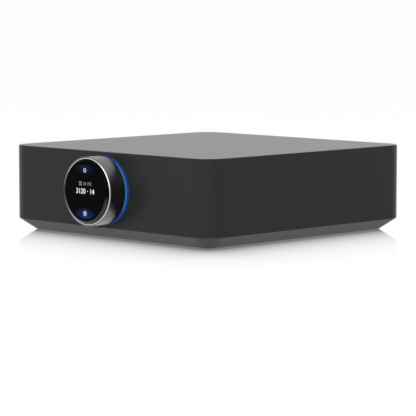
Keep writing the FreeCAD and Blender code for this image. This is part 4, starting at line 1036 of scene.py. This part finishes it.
@dataclass
class SocketDetails:
    """The turned and bent metal of the sockets, and the ribbed foot pads."""

    panel_y: float = REAR_PANEL_Y
    phono_places: tuple[Pair, ...] = ((20.5, 46.5), (20.5, 27.5), (5.0, 46.5))
    phono_bore: float = 3.4
    phono_radius: float = 4.15
    phono_flange_radius: float = 5.7
    phono_flange_front_y: float = 111.4
    phono_front_y: float = 119.0
    phono_root: float = 2.5
    phono_grooves: Pair = (113.4, 114.4)
    phono_groove_halves: Pair = (0.25, 0.1)
    phono_groove_depth: float = 0.12
    pin_places: tuple[Pair, ...] = ((-68.3, 29.5), (-59.7, 29.5))
    pin_radius: float = 1.2
    pin_back_y: float = 94.3
    pin_front_y: float = 108.3
    # The dome of a pin's end: the share of its radius, and the distance from its tip
    pin_dome: tuple[Pair, ...] = ((1.0, 1.0), (0.92, 0.5), (0.68, 0.15), (0.35, 0.02), (0.0, 0.0))
    network_x: float = -34.0
    network_floor_z: float = 22.8
    network_back_y: float = 97.3
    contacts: int = 8
    contact_pitch: float = 1.02
    contact_front_y: float = 108.6
    contact_starts: Pair = (0.1, 0.6)
    contact_rise: float = 3.9
    contact_half: float = 0.22
    contact_thickness: float = 0.35
    foot_places: tuple[Pair, ...] = ((-76.0, -76.0), (76.0, -76.0), (-76.0, 76.0), (76.0, 76.0))
    foot_radius: float = 9.0
    foot_height: float = 1.5
    foot_grooves: Pair = (7.2, 5.2)
    foot_groove_halves: Pair = (0.5, 0.3)
    foot_groove_depth: float = 0.25

    def phono_barrels(self) -> MeshData:
        """Builds the turned barrels of the phono sockets, each with two fine grooves.

        Returns:
            The barrels in one mesh.
        """
        bore, radius, flange = self.phono_bore, self.phono_radius, self.phono_flange_radius
        root, low = self.panel_y - self.phono_root, radius - self.phono_groove_depth
        wide, narrow = self.phono_groove_halves
        points = [(bore, root), (radius, root), (radius, self.panel_y), (flange, self.panel_y),
                  (flange, self.phono_flange_front_y), (radius, self.phono_flange_front_y)]
        for y in self.phono_grooves:
            points += [(radius, y - wide), (low, y - narrow), (low, y + narrow), (radius, y + wide)]
        points += [(radius, self.phono_front_y), (bore, self.phono_front_y)]
        return join([lathe(soften(points, 0.2, 3), x, z, 72) for x, z in self.phono_places])

    def mains_pins(self) -> MeshData:
        """Builds the two mains pins with their domed ends.

        Returns:
            The pins in one mesh.
        """
        r, front = self.pin_radius, self.pin_front_y
        points = [(0.0, self.pin_back_y), (r, self.pin_back_y)]
        points += [(r * share, front - short) for share, short in self.pin_dome]
        return join([lathe(points, x, z, 40) for x, z in self.pin_places])

    def network_contacts(self) -> MeshData:
        """Builds the sprung wires that rise from the network socket's floor to its back.

        Returns:
            The wires in one mesh.
        """
        wires = []
        off_floor, off_back = self.contact_starts
        front = (self.contact_front_y, self.network_floor_z + off_floor)
        back = (self.network_back_y + off_back, self.network_floor_z + self.contact_rise)
        for i in range(self.contacts):
            x = self.network_x + (i - (self.contacts - 1) / 2) * self.contact_pitch
            corners = [(x + side * self.contact_half, y, z + lift) for y, z in (front, back)
                       for lift in (0.0, self.contact_thickness) for side in (-1, 1)]
            faces = [(0, 1, 3, 2), (4, 6, 7, 5), (0, 4, 5, 1), (2, 3, 7, 6), (0, 2, 6, 4), (1, 5, 7, 3)]
            wires.append((corners, faces))
        return join(wires)

    def foot_pads(self) -> MeshData:
        """Builds the foot pads with their two ribs.

        Returns:
            The pads in one mesh.
        """
        points = [(0.0, -self.foot_height), (self.foot_radius, -self.foot_height), (self.foot_radius, 0.0)]
        low = -self.foot_groove_depth
        wide, narrow = self.foot_groove_halves
        for r in self.foot_grooves:
            points += [(r + wide, 0.0), (r + narrow, low), (r - narrow, low), (r - wide, 0.0)]
        points.append((0.0, 0.0))
        return facing_down(join([lathe(soften(points, 0.15, 3), x, y, 80) for x, y in self.foot_places]))

    def build(self) -> None:
        """Makes the pieces."""
        for name, data, slot, stands_for in (
            ("grooved_phono_barrels", self.phono_barrels(), "gold_plate", ["rca_barrels"]),
            ("domed_mains_pins", self.mains_pins(), "nickel_plate", ["mains_pins"]),
            ("network_contact_wires", self.network_contacts(), "gold_plate", []),
            ("ribbed_foot_pads", self.foot_pads(), "rubber", ["foot_pads"]),
        ):
            make_piece(name, data, slot, "chassis", stands_for)


@dataclass
class Studio:
    """White floor, white surroundings, one soft lamp and the camera."""

    lens_mm: float = 194.46
    sensor_mm: float = 36.0
    camera_place: Triple = (1.25538, -1.26106, 0.19461)
    camera_azimuth: float = 44.871
    camera_pitch: float = 5.7177
    view_limit: float = 50.0
    floor_half: float = 40.0
    floor_white: float = 0.92
    floor_strength: float = 1.045
    foot_half: float = 99.8
    foot_corner: float = 6.0
    mirror_fade: float = 30.0
    # Soft light of the surroundings: its way, where it starts, where it is full, and its level
    aft_light: tuple[Triple, float, float, float] = ((-0.7, 0.71, 0.0), 0.35, 0.75, 1.12)
    fore_light: tuple[Triple, float, float, float] = ((0.55, -0.84, 0.0), 0.3, 0.9, 0.4)
    side_light: tuple[Triple, float, float, float] = ((0.71, 0.7, 0.0), 0.4, 0.9, 0.32)
    lamp_place: Triple = (0.8, -1.43, 1.25)
    lamp_aim: Triple = (0.0, 0.0, 0.03)
    lamp_size: Pair = (1.8, 2.0)
    lamp_watts: float = 32.5

    def camera(self) -> None:
        """Sets the camera at the photograph's place."""
        data = bpy.data.cameras.new("camera")
        data.lens = self.lens_mm
        data.sensor_width = self.sensor_mm
        data.clip_end = self.view_limit
        camera = add_object("camera", data)
        camera.location = self.camera_place
        camera.rotation_euler = (math.radians(90 - self.camera_pitch), 0, math.radians(self.camera_azimuth))
        bpy.context.scene.camera = camera

    def background_share(self, tree: Tree) -> Node:
        """Adds the share of rays that see the plain background: camera, glossy and transmission rays.

        Args:
            tree: The tree that uses it.

        Returns:
            The node that gives the share.
        """
        path = tree.add("LightPath")
        mirrored = tree.add("Math", {"operation": "ADD", "use_clamp": True},
                            {0: path.outputs["Is Camera Ray"], 1: path.outputs["Is Glossy Ray"]})
        return tree.add("Math", {"operation": "ADD", "use_clamp": True},
                        {0: mirrored, 1: path.outputs["Is Transmission Ray"]})

    def floor(self) -> None:
        """Makes the white floor: a mirror image that fades away from the foot, and a soft shadow."""
        mesh = bpy.data.meshes.new("floor")
        h = self.floor_half
        mesh.from_pydata([(-h, -h, 0), (h, -h, 0), (h, h, 0), (-h, h, 0)], [], [(0, 1, 2, 3)])
        floor = add_object("floor", mesh)
        material, tree, place = new_material("white_acrylic_floor")
        straight = (self.foot_half - self.foot_corner) * MM
        apart = tree.add("VectorMath", {"operation": "ABSOLUTE"}, {0: place})
        past = tree.add("VectorMath", {"operation": "SUBTRACT", 1: (straight, straight, 0.0)}, {0: apart})
        outside = tree.add("VectorMath", {"operation": "MAXIMUM", 1: (0.0, 0.0, 0.0)}, {0: past})
        round_way = tree.add("VectorMath", {"operation": "LENGTH"}, {0: outside})
        reach = tree.add("Math", {"operation": "ADD", 1: straight}, {0: round_way.outputs["Value"]})
        away = tree.add("Math",
                        {"operation": "MULTIPLY_ADD", 1: -1 / (self.mirror_fade * MM),
                         2: self.foot_half / self.mirror_fade}, {0: reach})
        fade = tree.add("Math", {"operation": "EXPONENT", "use_clamp": True}, {0: away})
        path = tree.add("LightPath")
        mirror_share = tree.add("Math", {"operation": "MULTIPLY"}, {0: fade, 1: path.outputs["Is Camera Ray"]})
        white_share = tree.add("Math", {"operation": "MULTIPLY", 1: self.floor_white},
                               {0: self.background_share(tree)})
        matte = tree.add("BsdfDiffuse", {"Color": linear("#f6f6f6")})
        white = tree.add("Emission", {"Color": WHITE, "Strength": self.floor_strength})
        plain = tree.add("MixShader", links={0: white_share, 1: matte, 2: white})
        mirror = tree.add("BsdfGlossy", {"Color": WHITE, "Roughness": 0.0})
        both = tree.add("MixShader", links={0: mirror_share, 1: plain, 2: mirror})
        tree.add("OutputMaterial", links={"Surface": both})
        mesh.materials.append(material)

    def world(self) -> None:
        """Makes the surroundings: plain white where they are seen, and soft light from fore, aft and the sides."""
        world = bpy.data.worlds.new("studio")
        bpy.context.scene.world = world
        tree = Tree(world)
        direction = tree.add("TexCoord").outputs["Generated"]
        unit = tree.add("VectorMath", {"operation": "NORMALIZE"}, {0: direction})
        levels = []
        for light, way in ((self.aft_light, direction), (self.fore_light, direction), (self.side_light, unit)):
            toward, start, full, most = light
            share = tree.add("VectorMath", {"operation": "DOT_PRODUCT", 1: toward}, {0: way}).outputs["Value"]
            if way is unit:  # the light from the sides counts both ways
                share = tree.add("Math", {"operation": "ABSOLUTE"}, {0: share})
            levels.append(tree.add("MapRange", ease(start, full, 0.0, most), {"Value": share}))
        aft, fore, sides = levels
        ends = tree.add("Math", {"operation": "ADD"}, {0: aft, 1: fore})
        level = tree.add("Math", {"operation": "ADD"}, {0: ends, 1: sides})
        soft = tree.add("Background", {"Color": WHITE}, {"Strength": level})
        white = tree.add("Background", {"Color": WHITE, "Strength": 1.0})
        mix = tree.add("MixShader", links={0: self.background_share(tree), 1: soft, 2: white})
        tree.add("OutputWorld", links={"Surface": mix})

    def lamp(self) -> None:
        """Adds the soft lamp that points at the object."""
        data = bpy.data.lights.new("key_softbox", "AREA")
        data.shape = "RECTANGLE"
        data.size, data.size_y = self.lamp_size
        data.energy = self.lamp_watts
        lamp = add_object("key_softbox", data)
        lamp.location = self.lamp_place
        aim = Vector(self.lamp_aim) - Vector(self.lamp_place)
        lamp.rotation_euler = aim.to_track_quat("-Z", "Y").to_euler()

    def build(self) -> None:
        """Sets up the studio."""
        self.camera()
        self.floor()
        self.world()
        self.lamp()
        bpy.context.scene.view_settings.view_transform = "Standard"


def main() -> None:
    """Dresses the nodes, makes the fine pieces and sets up the studio."""
    logging.basicConfig(level=logging.INFO, format="%(name)s: %(message)s")
    dress_nodes()
    for assembly in (Knob, Display, LightRing, BindingPosts, Screws, SocketDetails, Studio):
        assembly().build()


if __name__ == "__main__":
    main()
